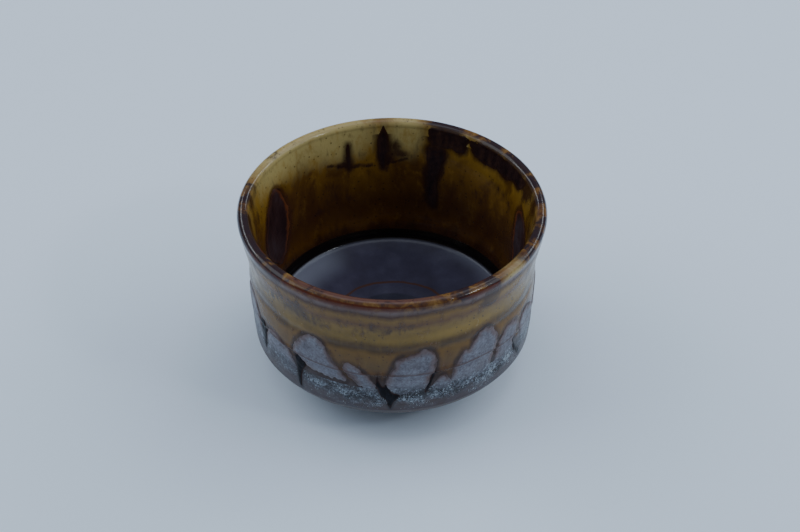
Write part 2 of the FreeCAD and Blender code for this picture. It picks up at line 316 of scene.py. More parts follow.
def make_turning_tree():
    """Turns an outline about the bowl's axis: its X is the radius less the guide's, and its Y is down."""
    inputs = [
        ("Outline", "Object"), ("Guide radius", "Float"), ("Around", "Int"), ("Wobble", "Float"),
        ("Ring relief", "Float"), ("Hand relief", "Float"), ("Seed", "Float"), ("Material", "Material"),
    ]
    tree, nodes, entry = geometry_tree("turning", inputs)
    outline = nodes.add("GeometryNodeObjectInfo", {"Object": entry.outputs["Outline"]}).outputs["Geometry"]
    guide = nodes.add(
        "GeometryNodeCurvePrimitiveCircle",
        {"Radius": entry.outputs["Guide radius"], "Resolution": entry.outputs["Around"]},
    ).outputs[0]
    turned = nodes.add("GeometryNodeCurveToMesh", {"Curve": guide, "Profile Curve": outline}).outputs[0]
    merged = nodes.add("GeometryNodeMergeByDistance", {"Geometry": turned, "Distance": 0.000002}).outputs[0]
    position = nodes.add("GeometryNodeInputPosition").outputs[0]
    offset = add_thrown_relief(nodes, entry, position)
    shaped = nodes.add("GeometryNodeSetPosition", {"Geometry": merged, "Offset": offset}).outputs[0]
    outwards = nodes.add("GeometryNodeFlipFaces", {0: shaped}).outputs[0]
    finish_tree(nodes, entry, smooth_faces(nodes, outwards))
    return tree


TURNING = make_turning_tree()
GUIDE_RADIUS = 30.0
STEPS_AROUND = 760


def outline_curve(points, closed):
    """A curve object for the turning tree."""
    curve = bpy.data.curves.new("outline", "CURVE")
    curve.dimensions = "3D"
    spline = curve.splines.new("POLY")
    spline.points.add(len(points) - 1)
    for target, (radius, height) in zip(spline.points, points):
        target.co = ((radius - GUIDE_RADIUS) * MM, -height * MM, 0.0, 1.0)
    spline.use_cyclic_u = closed
    return bpy.data.objects.new("outline", curve)


def turned_piece(name, points, material, closed=True):
    """A piece turned from its outline, with the relief of throwing."""
    outline = outline_curve(points, closed)
    bpy.context.scene.collection.objects.link(outline)
    values = {
        "Outline": outline, "Guide radius": GUIDE_RADIUS * MM, "Around": STEPS_AROUND, "Wobble": WOBBLE * MM,
        "Ring relief": RING_RELIEF * MM, "Hand relief": HAND_RELIEF * MM, "Seed": SEED, "Material": material,
    }
    piece = baked(name, bpy.data.meshes.new("empty"), TURNING, values)
    bpy.data.objects.remove(outline)
    return piece


def vertex_places(piece):
    """Every vertex as azimuth in degrees, radius and height in millimetres."""
    places = np.empty(len(piece.data.vertices) * 3, np.float32)
    piece.data.vertices.foreach_get("co", places)
    across, deep, up = places.reshape(-1, 3).T.astype(float) / MM
    return np.degrees(np.arctan2(deep, across)) % 360, np.hypot(across, deep), up


def move_vertices(piece, azimuth, radius, height):
    """Puts every vertex at an azimuth in degrees, a radius and a height in millimetres."""
    turn = np.radians(azimuth)
    places = np.column_stack([radius * np.cos(turn), radius * np.sin(turn), height])
    piece.data.vertices.foreach_set("co", (places * MM).astype(np.float32).ravel())
    piece.data.update()


def store(piece, name, values):
    """A number on every vertex, for the material to read."""
    attribute = piece.data.attributes.new(name, "FLOAT", "POINT")
    attribute.data.foreach_set("value", np.asarray(values, np.float32))


def face_outwards(piece):
    """Turns a closed piece's faces outwards if they point in."""
    shape = bmesh.new()
    shape.from_mesh(piece.data)
    if shape.calc_volume(signed=True) < 0:
        bmesh.ops.reverse_faces(shape, faces=shape.faces)
        shape.to_mesh(piece.data)
    shape.free()


# ------------------------------------------------------------------ ridge and groove on the outside

RIDGE_HEIGHT = 37.4
GROOVE_HEIGHT = 49.0


def turn_from(azimuth, centre):
    """Signed degrees from a centre azimuth, between -180 and 180."""
    return (azimuth - centre + 180) % 360 - 180


def ridge_line(azimuth):
    """Height of the ridge that climbs round the left of the bowl."""
    climb = np.clip(turn_from(229, 0) - azimuth % 360, 0, 60)
    climb = np.where((azimuth % 360) > 100, climb, 0)
    fall = np.clip((azimuth % 360) - 309, 0, 60)
    return RIDGE_HEIGHT + 0.40 * climb - 0.10 * fall


def carve_outside(azimuth, radius, height):
    """Adds the ridge and the groove to an outside radius."""
    ridge = ridge_line(azimuth)
    front = np.exp(-((turn_from(azimuth, 265) / 78.0) ** 4))
    above_ridge = height - ridge
    radius = radius + front * 0.42 * np.exp(-((above_ridge / 0.75) ** 2))
    radius = radius - front * 0.38 * np.exp(-(((above_ridge + 1.5) / 1.1) ** 2))
    groove = height - GROOVE_HEIGHT - 0.8 * np.sin(np.radians(azimuth * 2))
    return radius - 0.30 * np.exp(-((groove / 1.8) ** 2))


def carve(piece):
    """Carves the ridge and the groove into a piece's outer faces, fading at the hip and the lip."""
    azimuth, radius, height = vertex_places(piece)
    outside = radius > 50.0 + np.where(height > 24, 4.6, 0.0)
    carved = carve_outside(azimuth, radius, height)
    weight = np.clip((height - 20) / 3, 0, 1) * np.clip((64 - height) / 3, 0, 1)
    move_vertices(piece, azimuth, np.where(outside, radius + (carved - radius) * weight, radius), height)


# ------------------------------------------------------------------ outlines of the brushed and run glazes
# Each outline is a closed loop of (degrees from the piece's middle, height above the table in millimetres).

PETAL_SHAPES = {
    "petal_01": [
        (-8, 27), (-9.5, 36), (-9.5, 41.5), (-6, 45), (0, 45.5), (5, 44), (8.6, 40), (9.8, 34),
        (9, 27),
    ],
    "petal_02": [
        (-7, 27), (-8.2, 33), (-7, 37.6), (-4, 39.6), (0, 39.4), (4, 37.4), (8, 33.6), (10, 29),
        (9, 26),
    ],
    "petal_03": [
        (-5, 34), (-9.2, 37.5), (-8.6, 41), (-6.5, 45.2), (-3.4, 48.6), (0.5, 49.6), (4, 49),
        (6.6, 46), (9.4, 41.5), (12.3, 37), (15, 33), (12.6, 30), (4, 31),
    ],
    "petal_04": [
        (-4, 35), (-6.2, 38), (-5.2, 41.2), (-3, 41.5), (0, 39.8), (3, 37.4), (5.4, 34.6), (6.8, 31.5),
        (6.6, 28), (2, 28.5), (-1, 32),
    ],
    "petal_05": [
        (-9.7, 27), (-9.9, 33), (-9, 37), (-7.5, 41), (-6, 44.6), (-4, 46.4), (-1, 47.1), (2, 48),
        (5.2, 49.2), (7.6, 48.6), (9.4, 45.5), (9.9, 42), (9.2, 38), (7.6, 34), (6.2, 29), (0, 27),
    ],
    "petal_06": [
        (-5.2, 28.5), (-3.8, 32), (-2, 34.2), (0, 34.6), (2, 32.2), (3.6, 29), (0, 27),
    ],
    "petal_07": [
        (-13, 30), (-13.2, 34), (-12.2, 38.5), (-10.4, 42.4), (-8.2, 44.6), (-6.4, 43.8), (-5, 45.8),
        (-3, 48.8), (-0.4, 50.8), (2, 51), (5, 49), (7.6, 45.2), (8.4, 41), (7.2, 37), (5.4, 33),
        (5, 28), (-4, 27),
    ],
    "petal_08": [
        (-9, 28), (-8.8, 34), (-7.4, 38.6), (-5.2, 42.2), (-2.2, 44.1), (1, 44.2), (3.8, 43),
        (6, 40.4), (5, 37), (3.2, 33), (2.8, 28),
    ],
    "petal_09": [
        (-8, 34), (-9.4, 38), (-7.4, 42), (-3.6, 43), (1.4, 41), (5.4, 38), (8, 34), (8.4, 29),
        (0, 26), (-5.5, 29),
    ],
}
# Petals round the back take a front petal's shape.
PETAL_COPIES = {
    "petal_10": "petal_05", "petal_11": "petal_02", "petal_12": "petal_07", "petal_13": "petal_04",
    "petal_14": "petal_03", "petal_15": "petal_08", "petal_16": "petal_05", "petal_17": "petal_09",
    "petal_18": "petal_01", "petal_19": "petal_02", "petal_20": "petal_08",
}
RUN_SHAPES = {
    "run_01": [
        (-2.6, 38.6), (0.8, 39.4), (2.2, 36), (1.6, 31), (0.6, 26), (-0.6, 24.4), (-2.4, 29),
        (-3.2, 35),
    ],
    "run_02": [
        (-2.2, 35.8), (0.6, 36.2), (3, 34.8), (3.5, 32.4), (1.7, 29), (0.9, 25), (0.5, 20.4),
        (-0.3, 19.5), (-1, 21), (-1.3, 25), (-1.7, 30),
    ],
    "run_03": [
        (-4, 36.4), (-3.4, 33.6), (-1.6, 31.4), (-0.6, 33.6), (0.4, 30.6), (2, 28.2), (4.4, 26.8),
        (3.4, 24.8), (2, 22.4), (1, 19.4), (0.2, 21), (-0.8, 24.2), (-2.4, 26.2), (-3.8, 28.8),
        (-4.8, 32),
    ],
    "run_04": [
        (2.4, 38.2), (3.3, 36.8), (1.8, 33), (0.5, 29), (-1.1, 26.8), (-1.5, 29), (0.2, 33),
        (1.4, 36.4),
    ],
    "run_05": [
        (-5.4, 36.6), (-4.2, 35), (-2.6, 30.4), (0, 26), (3, 21.8), (2.4, 20.6), (-1.4, 24.4),
        (-4.2, 29.4), (-5.8, 34.4),
    ],
}
RUN_COPIES = {"run_06": "run_02", "run_07": "run_01", "run_08": "run_03", "run_09": "run_02"}
LEAF_SHAPES = {
    "leaf_left": [
        (-2, 63.2), (1, 62.6), (4, 59.4), (7, 56), (9.4, 51), (11.8, 46), (12.2, 41), (10.6, 36),
        (7, 31.4), (2.6, 28.4), (-3.4, 29.6), (-7.4, 35), (-9.6, 41), (-10, 47), (-9, 53),
        (-6.8, 58.6), (-4.6, 62),
    ],
    "leaf_right": [
        (4, 60.4), (7, 59.4), (9, 56), (9.6, 50), (9.4, 44), (8.4, 38), (5.4, 31.4), (0.6, 29),
        (-5, 31.4), (-8.4, 38), (-8, 46), (-4.6, 54), (0.4, 58.4),
    ],
    "leaf_front": [
        (0, 62), (4.4, 59), (7.8, 52), (9.2, 44.6), (8, 36.8), (3.4, 30), (-2.4, 29.6), (-7, 35),
        (-9.2, 43), (-8.4, 51), (-5, 58.6),
    ],
}
STREAK_SHAPES = {
    "iron_streak_back": [
        (0, 73.6), (1, 71.8), (2.4, 68.4), (3, 64), (2.8, 60), (1.9, 56), (0.4, 53), (-1, 55),
        (-1.8, 60), (-2.6, 64), (-2.2, 68.4), (-0.9, 71.8),
    ],
    "iron_streak_thin": [
        (-0.6, 66.5), (0.8, 66), (1.2, 61), (1, 57), (0.2, 54.6), (-0.8, 56), (-1, 61),
    ],
    "iron_streak_wide": [
        (-3.5, 65), (5, 65), (4.8, 57), (5, 50), (5, 42), (2.6, 36.6), (0, 37), (-0.6, 43), (-0.4, 50),
        (-2.4, 57),
    ],
    "iron_patch_back": [
        (-9.4, 73.4), (0, 73.8), (8.6, 73.6), (8.8, 69), (7, 66), (2, 65.2), (-2, 66.2), (-5, 65),
        (-9, 66.6), (-9.8, 70),
    ],
    "iron_patch_right": [
        (-17, 73.2), (0, 73.4), (17.4, 73.4), (18, 69), (14, 66.2), (9, 65.2), (3, 66), (-3, 65),
        (-8, 66.8), (-13, 66.2), (-17.6, 69.6),
    ],
}
# Degrees round the bowl of each mark's middle. The other marks take theirs from the frame.
MARK_AZIMUTHS = {
    "petal_01": 196, "petal_02": 219, "petal_03": 237.5, "petal_04": 257, "petal_05": 277.5,
    "petal_06": 290.7, "petal_07": 307.2, "petal_08": 323.5, "petal_09": 340, "run_01": 208.5,
    "run_02": 231, "run_03": 268.4, "run_04": 284.2, "run_05": 330.6, "leaf_left": 154,
    "leaf_right": 11.5, "leaf_front": 263,
    "iron_streak_back": 94, "iron_streak_thin": 110, "iron_streak_wide": 69.5, "iron_patch_back": 65.5,
    "iron_patch_right": 36,
}
OUTSIDE_RADIUS = 56.4 * MM
INSIDE_RADIUS = 52.0 * MM
OUTSIDE_ARC = math.radians(OUTSIDE_RADIUS / MM)
INSIDE_ARC = math.radians(INSIDE_RADIUS / MM)


def smooth_loop(corners, per_side=8):
    """A smooth closed curve through the corners."""
    corners = np.asarray(corners, float)
    t = np.linspace(0, 1, per_side, endpoint=False)[:, None]
    sides = []
    for number, start in enumerate(corners):
        before, end, after = (corners[(number + step) % len(corners)] for step in (-1, 1, 2))
        lead, trail = (end - before) * 0.5, (after - start) * 0.5
        sides.append(
            (2 * t**3 - 3 * t**2 + 1) * start
            + (t**3 - 2 * t**2 + t) * lead
            + (3 * t**2 - 2 * t**3) * end
            + (t**3 - t**2) * trail
        )
    return np.vstack(sides)


def node_middle(node):
    """Azimuth of a CAD node's middle."""
    low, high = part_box(node)
    return math.degrees(math.atan2(low.y + high.y, low.x + high.x)) % 360


def mark_loop(node, shapes, copies, arc_length):
    """A mark's middle azimuth and its outline in millimetres across and up."""
    source = copies.get(node, node)
    loop = smooth_loop(shapes[source])
    azimuth = MARK_AZIMUTHS.get(node, node_middle(node))
    if node in copies:
        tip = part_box(node)[1].z / MM
        foot = loop[:, 1].min()
        loop[:, 1] = foot + (loop[:, 1] - foot) * (tip - foot) / (loop[:, 1].max() - foot)
        loop[:, 0] *= 0.92
    loop[:, 0] *= arc_length
    return azimuth, loop


def signed_distance(loop, across, up):
    """Millimetres inside a closed outline, negative outside it."""
    ends = np.roll(loop, -1, axis=0)
    nearest = np.full(across.shape, 1e9)
    inside = np.zeros(across.shape, bool)
    for (x0, y0), (x1, y1) in zip(loop, ends):
        run, rise = x1 - x0, y1 - y0
        t = np.clip(((across - x0) * run + (up - y0) * rise) / (run * run + rise * rise + 1e-12), 0, 1)
        nearest = np.minimum(nearest, (across - x0 - t * run) ** 2 + (up - y0 - t * rise) ** 2)
        crosses = (y0 > up) != (y1 > up)
        inside ^= crosses & (across < x0 + (up - y0) * run / (rise if rise else 1e-12))
    return np.where(inside, 1, -1) * np.sqrt(nearest)


FAR = 9.0


def depth_in_marks(marks, azimuth, height, arc_length):
    """The signed distance into the nearest of several marks, held at FAR outside them."""
    deepest = np.full(azimuth.shape, -FAR)
    for middle, loop in marks:
        across = turn_from(azimuth, middle) * arc_length
        near = (across > loop[:, 0].min() - FAR) & (across < loop[:, 0].max() + FAR)
        near &= (height > loop[:, 1].min() - FAR) & (height < loop[:, 1].max() + FAR)
        if near.any():
            found = signed_distance(loop, across[near], height[near])
            deepest[near] = np.maximum(deepest[near], found)
    return deepest


PETAL_NODES = sorted(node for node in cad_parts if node.startswith("petal_"))
RUN_NODES = sorted(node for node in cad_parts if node.startswith("run_"))
LEAF_NODES = sorted(LEAF_SHAPES)
STREAK_NODES = sorted(STREAK_SHAPES)
PETAL_LOOPS = {node: mark_loop(node, PETAL_SHAPES, PETAL_COPIES, OUTSIDE_ARC) for node in PETAL_NODES}
RUN_LOOPS = {node: mark_loop(node, RUN_SHAPES, RUN_COPIES, OUTSIDE_ARC) for node in RUN_NODES}
LEAF_LOOPS = {node: mark_loop(node, LEAF_SHAPES, {}, INSIDE_ARC) for node in LEAF_NODES}
STREAK_LOOPS = {node: mark_loop(node, STREAK_SHAPES, {}, INSIDE_ARC) for node in STREAK_NODES}

# Soft iron stains: azimuth, height, reach across in degrees, reach up in millimetres, strength.
OUTSIDE_STAINS = [
    (231, 62, 8, 5, 0.8), (240, 58, 6, 3.5, 0.45), (216, 60, 9, 4, 0.5), (266, 60.5, 8, 3, 0.55),
    (255, 64, 12, 2, 0.4), (278, 63, 6, 2.5, 0.35), (309, 66, 4.5, 4, 0.9), (302, 60, 5, 3, 0.3),
    (334, 62, 7, 4, 0.5), (350, 58, 8, 5, 0.6), (190, 60, 9, 5, 0.6), (10, 61, 9, 4, 0.6),
    (38, 59, 10, 5, 0.5),
    (62, 63, 6, 4, 0.7), (85, 60, 9, 4, 0.4), (112, 62, 7, 5, 0.7), (140, 59, 9, 4, 0.5),
    (165, 62, 7, 4, 0.6),
]
RIM_STAINS = [
    (190, 72, 6, 5, 0.9), (176, 73, 4, 5, 0.7), (206, 72, 12, 5, 1.0), (223, 73, 6, 3, 0.7),
    (240, 72, 8, 3, 0.35), (298, 72, 5, 3, 0.45), (309, 72, 4, 6, 0.95), (332, 72, 4, 4, 0.6),
    (341, 72, 3, 5, 0.8), (350, 73, 3, 4, 0.7), (2, 72, 5, 4, 0.7), (14, 73, 6, 5, 0.7),
    (29, 73, 8, 5, 1.0),
    (44, 73, 7, 5, 1.0), (66, 73, 7, 5, 1.0), (168, 73, 4, 4, 0.5), (150, 72, 5, 3, 0.25),
]
INSIDE_STAINS = [
    (172, 62, 7, 7, 0.5), (182, 50, 7, 9, 0.6), (113, 57.4, 3.5, 1.7, 0.85), (106, 56, 3, 1.3, 0.75),
    (100, 55.6, 3, 1.4, 0.7), (92, 57.4, 3, 1.6, 0.7), (86, 60.4, 4, 1.8, 0.6), (90, 62.5, 6, 4, 0.45),
    (119, 58.6, 3, 1.3, 0.6), (118, 45, 12, 8, 0.35), (126, 38, 5, 2, 0.5), (87, 65, 5, 5, 0.35),
    (30, 56, 14, 6, 0.35), (50, 48, 9, 7, 0.3), (85, 50, 10, 5, 0.3), (130, 55, 9, 4, 0.2),
    (18, 68, 6, 5, 0.5),
    (0, 60, 8, 8, 0.5), (330, 62, 12, 6, 0.4), (300, 58, 10, 7, 0.5), (230, 60, 12, 7, 0.5),
    (205, 66, 8, 5, 0.6),
]
# Other soft patches of colour, in the same terms.
ASH_PATCHES = [
    (280, 27, 42, 9, 1.0), (236, 30, 16, 6, 0.7), (325, 25, 22, 7, 0.5), (60, 28, 70, 6, 0.6),
    (160, 28, 50, 6, 0.6),
]
# Gold glaze band; the strong patch at 298 degrees on the front right is painted light, brighter where the
# light falls from the right.
GOLD_AND_PAINTED_LIGHT_PATCHES = [
    (298, 56, 20, 3.4, 0.9), (262, 54.5, 24, 2.6, 0.5), (232, 52, 14, 4, 0.6), (330, 54, 14, 4, 0.5),
    (20, 55, 30, 4, 0.6), (100, 54, 36, 4, 0.7), (165, 55, 24, 4, 0.6), (318, 66, 12, 4, 0.5),
]
PITTED_PATCHES = [
    (280, 26.9, 9, 1.8, 1.0), (296, 24.5, 5, 2, 0.6), (256, 24.5, 5, 1.6, 0.7), (318, 24, 5, 2, 0.5),
]
ROSE_PATCHES = [(240, 74, 18, 9, 0.8), (262, 74, 20, 9, 0.9), (280, 74, 8, 9, 0.6)]
RED_PATCHES = [(250, 74, 30, 6, 0.95), (304, 74, 8, 6, 0.9), (210, 74, 9, 6, 0.5)]
KHAKI_PATCHES = [
    (142, 72, 34, 11, 0.85), (112, 70, 16, 12, 0.9), (84, 70, 9, 12, 0.9), (57, 70, 1.6, 5, 0.9),
    (320, 71, 9, 5, 0.9),
]
# The thin dark line where one pour of glaze stopped, low on the back of the inside wall: azimuth, height.
POUR_LINE = [(120, 59), (115, 57.4), (110, 55.6), (104, 55), (96, 55.2), (90, 56), (84, 58)]


def soft_stains(stains, azimuth, height):
    """The strength of overlapping soft stains, from 0 to 1."""
    clear = np.ones(azimuth.shape)
    for middle, level, reach, rise, strength in stains:
        away = (turn_from(azimuth, middle) / reach) ** 2 + ((height - level) / rise) ** 2
        clear *= 1 - strength * np.exp(-away)
    return 1 - clear


def line_strength(corners, azimuth, height, width, arc_length):
    """How close a point is to an open line on the wall, from 0 to 1."""
    nearest = np.full(azimuth.shape, 1e9)
    for (turn0, up0), (turn1, up1) in zip(corners, corners[1:]):
        across = turn_from(azimuth, turn0) * arc_length
        run, rise = turn_from(turn1, turn0) * arc_length, up1 - up0
        t = np.clip((across * run + (height - up0) * rise) / (run * run + rise * rise), 0, 1)
        nearest = np.minimum(nearest, (across - t * run) ** 2 + (height - up0 - t * rise) ** 2)
    return np.exp(-nearest / width**2)


def store_outside_marks(piece):
    """Numbers on an outside piece that its material reads."""
    azimuth, _, height = vertex_places(piece)
    petals = depth_in_marks(PETAL_LOOPS.values(), azimuth, height, OUTSIDE_ARC)
    runs = depth_in_marks(RUN_LOOPS.values(), azimuth, height, OUTSIDE_ARC)
    store(piece, "petal_depth", petals)
    store(piece, "run_depth", runs)
    stains = soft_stains(OUTSIDE_STAINS, azimuth, height) + soft_stains(RIM_STAINS, azimuth, height)
    store(piece, "stain", np.clip(stains, 0, 1))
    store(piece, "above_ridge", height - ridge_line(azimuth))
    # gold: gold glaze, partly painted light on the front right.
    store(piece, "gold", soft_stains(GOLD_AND_PAINTED_LIGHT_PATCHES, azimuth, height))


def store_inside_marks(piece):
    """Numbers on an inside piece that its material reads."""
    azimuth, _, height = vertex_places(piece)
    store(piece, "leaf_depth", depth_in_marks(LEAF_LOOPS.values(), azimuth, height, INSIDE_ARC))
    store(piece, "streak_depth", depth_in_marks(STREAK_LOOPS.values(), azimuth, height, INSIDE_ARC))
    stains = soft_stains(INSIDE_STAINS, azimuth, height) + soft_stains(RIM_STAINS, azimuth, height)
    store(piece, "stain", np.clip(stains, 0, 1))
    store(piece, "pour", line_strength(POUR_LINE, azimuth, height, 1.2, INSIDE_ARC))
    store(piece, "khaki", soft_stains(KHAKI_PATCHES, azimuth, height))


def store_hip_marks(piece):
    """How ashy and how pitted the hip is."""
    azimuth, _, height = vertex_places(piece)
    store(piece, "ash", np.clip(soft_stains(ASH_PATCHES, azimuth, height) + 0.22, 0, 1))
    store(piece, "pitted", soft_stains(PITTED_PATCHES, azimuth, height))


def store_rim_marks(piece):
    """Numbers on the lip: stains, pale and rose stretches, and the red-brown edges."""
    azimuth, radius, height = vertex_places(piece)
    inner = np.clip((LIP_CENTRE[0] - radius) / LIP_BEAD, -1.2, 1.2)
    low = np.clip((LIP_CENTRE[1] - 0.2 - height) / 1.6, 0, 1)
    inner_side = np.clip((inner - 0.55) / 0.45, 0, 1)
    inside = soft_stains(INSIDE_STAINS, azimuth, height)
    outside = soft_stains(OUTSIDE_STAINS, azimuth, height)
    lip = soft_stains(RIM_STAINS, azimuth, np.where(height > RIM_LINE + 1, 72.5, height))
    store(piece, "stain", np.clip(lip + np.where(inner > 0, inside, outside), 0, 1))
    store(piece, "inner_side", np.where(inner > 0, inner_side, 0))
    store(piece, "outer_side", np.where(inner < -0.3, low, 0))
    store(piece, "khaki", soft_stains(KHAKI_PATCHES, azimuth, height))
    crown = np.clip(1.2 - np.abs(inner - 0.05) * 1.5, 0, 1)
    store(piece, "rose", soft_stains(ROSE_PATCHES, azimuth, height) * crown)
    red_line = np.exp(-(((inner - 0.62) / 0.3) ** 2)) + 1.2 * np.exp(-(((inner + 0.93) / 0.13) ** 2))
    store(piece, "red_edge", soft_stains(RED_PATCHES, azimuth, height) * red_line)


# ------------------------------------------------------------------ finishes


def start_finish(name, specular=0.5, coat=0.0, coat_roughness=0.05):
    """A new material, its node helper, its shader and its position on the piece."""
    material = bpy.data.materials.new(name)
    material.use_nodes = True
    nodes = Nodes(material.node_tree)
    shader = material.node_tree.nodes["Principled BSDF"]
    shader.inputs["Specular IOR Level"].default_value = specular
    shader.inputs["Coat Weight"].default_value = coat
    shader.inputs["Coat Roughness"].default_value = coat_roughness
    place = nodes.add("ShaderNodeTexCoord").outputs["Object"]
    return material, nodes, shader, place


def runny(nodes, place, across=150.0, up=38.0):
    """Coordinates stretched down the wall, for colour that ran in the kiln."""
    return nodes.vector("MULTIPLY", place, (across, across, up))


def finish(nodes, shader, colour, roughness, relief, depth):
    """Joins colour, roughness and a relief height (depth in metres) to the shader."""
    bump = nodes.add("ShaderNodeBump", {"Height": relief, "Distance": depth, "Strength": 1.0})
    for socket, value in (("Base Color", colour), ("Roughness", roughness), ("Normal", bump.outputs[0])):
        nodes.tree.links.new(value, shader.inputs[socket])


def pebbled(nodes, place):
    """The slow and fine unevenness of a melted surface."""
    slow = nodes.noise(place, 160.0, 3.0, 0.55)
    fine = nodes.noise(place, 900.0, 3.0, 0.6)
    return nodes.math("MULTIPLY_ADD", fine, 0.25, slow)


def pinholes(nodes, place, scale, size, share):
    """Small round spots, 1 in the middle, on a share of the cells."""
    bent = nodes.vector("ADD", place, nodes.vector("SCALE", nodes.noise_colour(place, 400.0), None, 0.0006))
    spots, chance = nodes.cells(bent, scale)
    spot = nodes.spread(spots, size, size * 0.4)
    chosen = nodes.spread(chance, share, share - 0.04)
    return nodes.math("MULTIPLY", spot, chosen)


def make_clay():
    material, nodes, shader, place = start_finish("bare_clay", specular=0.25)
    tone = nodes.noise(place, 45.0, 5.0, 0.6)
    colour = nodes.ramp(
        tone, [(0.3, (0.085, 0.055, 0.042)), (0.55, (0.15, 0.10, 0.075)), (0.75, (0.20, 0.14, 0.10))]
    )
    grog = pinholes(nodes, place, 520.0, 0.34, 0.35)
    colour = nodes.mix(grog, colour, (0.33, 0.27, 0.21))
    iron = pinholes(nodes, nodes.vector("ADD", place, (0.31, 0.17, 0.05)), 700.0, 0.36, 0.3)
    colour = nodes.mix(iron, colour, (0.03, 0.018, 0.014))
    rough = nodes.spread(tone, 0.2, 0.8, 0.95, 0.72)
    grain = nodes.math("MULTIPLY_ADD", grog, 0.35, nodes.noise(place, 1100.0, 5.0, 0.7))
    finish(nodes, shader, colour, rough, grain, 0.00025)
    return material


def shifted(nodes, value, noise, amount):
    """A value made ragged by a noise."""
    return nodes.math("MULTIPLY_ADD", nodes.math("SUBTRACT", noise, 0.5), amount, value)


def fitful(nodes, place):
    """How strongly an edge shows, from faint to full, changing every few millimetres."""
    return nodes.spread(nodes.noise(place, 120.0, 2.0), 0.38, 0.58, 0.55, 1.0)


def height_in(nodes, place):
    """Millimetres above the table."""
    return nodes.math("MULTIPLY", nodes.separate(place)[2], 1 / MM)


def outer_ground(nodes, place):
    """Runny amber with an olive band, gold near the petals that is partly painted light on the front right,
    a pale band under the lip that is painted reflection, and iron stains: colour, mottle, spots.
    """
    up = height_in(nodes, place)
    runs = nodes.noise(runny(nodes, place, 60.0, 30.0), 1.0, 3.0, 0.55, 0.3)
    level = nodes.spread(shifted(nodes, up, runs, 7.0), 30.0, 72.0, smooth=False)
    colour = nodes.ramp(level, [
        (0.00, (0.030, 0.010, 0.004)), (0.15, (0.085, 0.036, 0.010)), (0.27, (0.120, 0.066, 0.020)),
        (0.40, (0.160, 0.083, 0.017)), (0.455, (0.070, 0.034, 0.007)), (0.52, (0.085, 0.042, 0.008)),
        (0.60, (0.165, 0.095, 0.016)), (0.71, (0.205, 0.118, 0.020)), (0.79, (0.120, 0.050, 0.012)),
        # The last stop, a pale lilac-grey band just under the lip's bead, is a painted reflection of the
        # pale table.
        (0.87, (0.190, 0.100, 0.018)), (0.93, (0.060, 0.022, 0.012)), (1.00, (0.170, 0.115, 0.105)),
    ])
    mottle = nodes.noise(runny(nodes, place, 300.0, 150.0), 1.0, 4.0, 0.65)
    streaky = nodes.noise(runny(nodes, place, 380.0, 60.0), 1.0, 3.0, 0.6)
    colour = nodes.mix(nodes.spread(mottle, 0.5, 0.72, 0.0, 0.6), colour, (0.070, 0.026, 0.009))
    colour = nodes.mix(nodes.spread(streaky, 0.5, 0.3, 0.0, 0.12), colour, (0.300, 0.180, 0.034))
    ragged = shifted(nodes, nodes.attribute("stain"), mottle, 1.3)
    colour = nodes.mix(nodes.spread(ragged, 0.2, 0.7, 0.0, 0.8), colour, (0.046, 0.021, 0.014))
    # Gold glaze, partly painted light: the patch on the front right is brighter where the light falls from
    # the right.
    gold = shifted(nodes, nodes.attribute("gold"), mottle, 0.7)
    colour = nodes.mix(nodes.spread(gold, 0.15, 0.9, 0.0, 0.7), colour, (0.300, 0.182, 0.028))
    spots = pinholes(nodes, place, 620.0, 0.3, 0.35)
    colour = nodes.mix(nodes.math("MULTIPLY", spots, 0.7), colour, (0.040, 0.018, 0.012))
    return colour, mottle, spots


def inner_ground(nodes, place):
    """Khaki at the lip, gold below it and dark brown at the foot of the wall: colour, mottle, spots."""
    up = height_in(nodes, place)
    runs = nodes.noise(runny(nodes, place, 120.0, 22.0), 1.0, 4.0, 0.55, 0.3)
    level = nodes.spread(shifted(nodes, up, runs, 20.0), 25.0, 75.0, smooth=False)
    colour = nodes.ramp(level, [
        (0.00, (0.030, 0.010, 0.002)), (0.09, (0.078, 0.030, 0.003)), (0.24, (0.056, 0.020, 0.003)),
        (0.44, (0.104, 0.044, 0.005)), (0.62, (0.176, 0.084, 0.009)), (0.78, (0.226, 0.122, 0.017)),
        (1.00, (0.270, 0.170, 0.045)),
    ])
    mottle = nodes.noise(runny(nodes, place, 230.0, 110.0), 1.0, 5.0, 0.66)
    broad = nodes.noise(runny(nodes, place, 85.0, 45.0), 1.0, 3.0, 0.55, 0.6)
    colour = nodes.mix(nodes.spread(broad, 0.48, 0.68, 0.0, 0.7), colour, (0.052, 0.017, 0.004))
    khaki = shifted(nodes, nodes.attribute("khaki"), mottle, 0.9)
    colour = nodes.mix(nodes.spread(khaki, 0.2, 0.9, 0.0, 0.88), colour, (0.470, 0.375, 0.150))
    colour = nodes.mix(nodes.spread(mottle, 0.5, 0.74, 0.0, 0.6), colour, (0.048, 0.016, 0.004))
    upward = nodes.spread(up, 34.0, 60.0, 0.12, 0.45)
    warm = nodes.math("MULTIPLY", nodes.spread(mottle, 0.46, 0.28), upward)
    colour = nodes.mix(warm, colour, (0.300, 0.160, 0.024))
    ragged = shifted(nodes, nodes.attribute("stain"), mottle, 1.4)
    colour = nodes.mix(nodes.spread(ragged, 0.2, 0.75, 0.0, 0.88), colour, (0.036, 0.013, 0.008))
    spots = pinholes(nodes, place, 560.0, 0.3, 0.25)
    colour = nodes.mix(nodes.math("MULTIPLY", spots, 0.6), colour, (0.014, 0.006, 0.004))
    return colour, mottle, spots


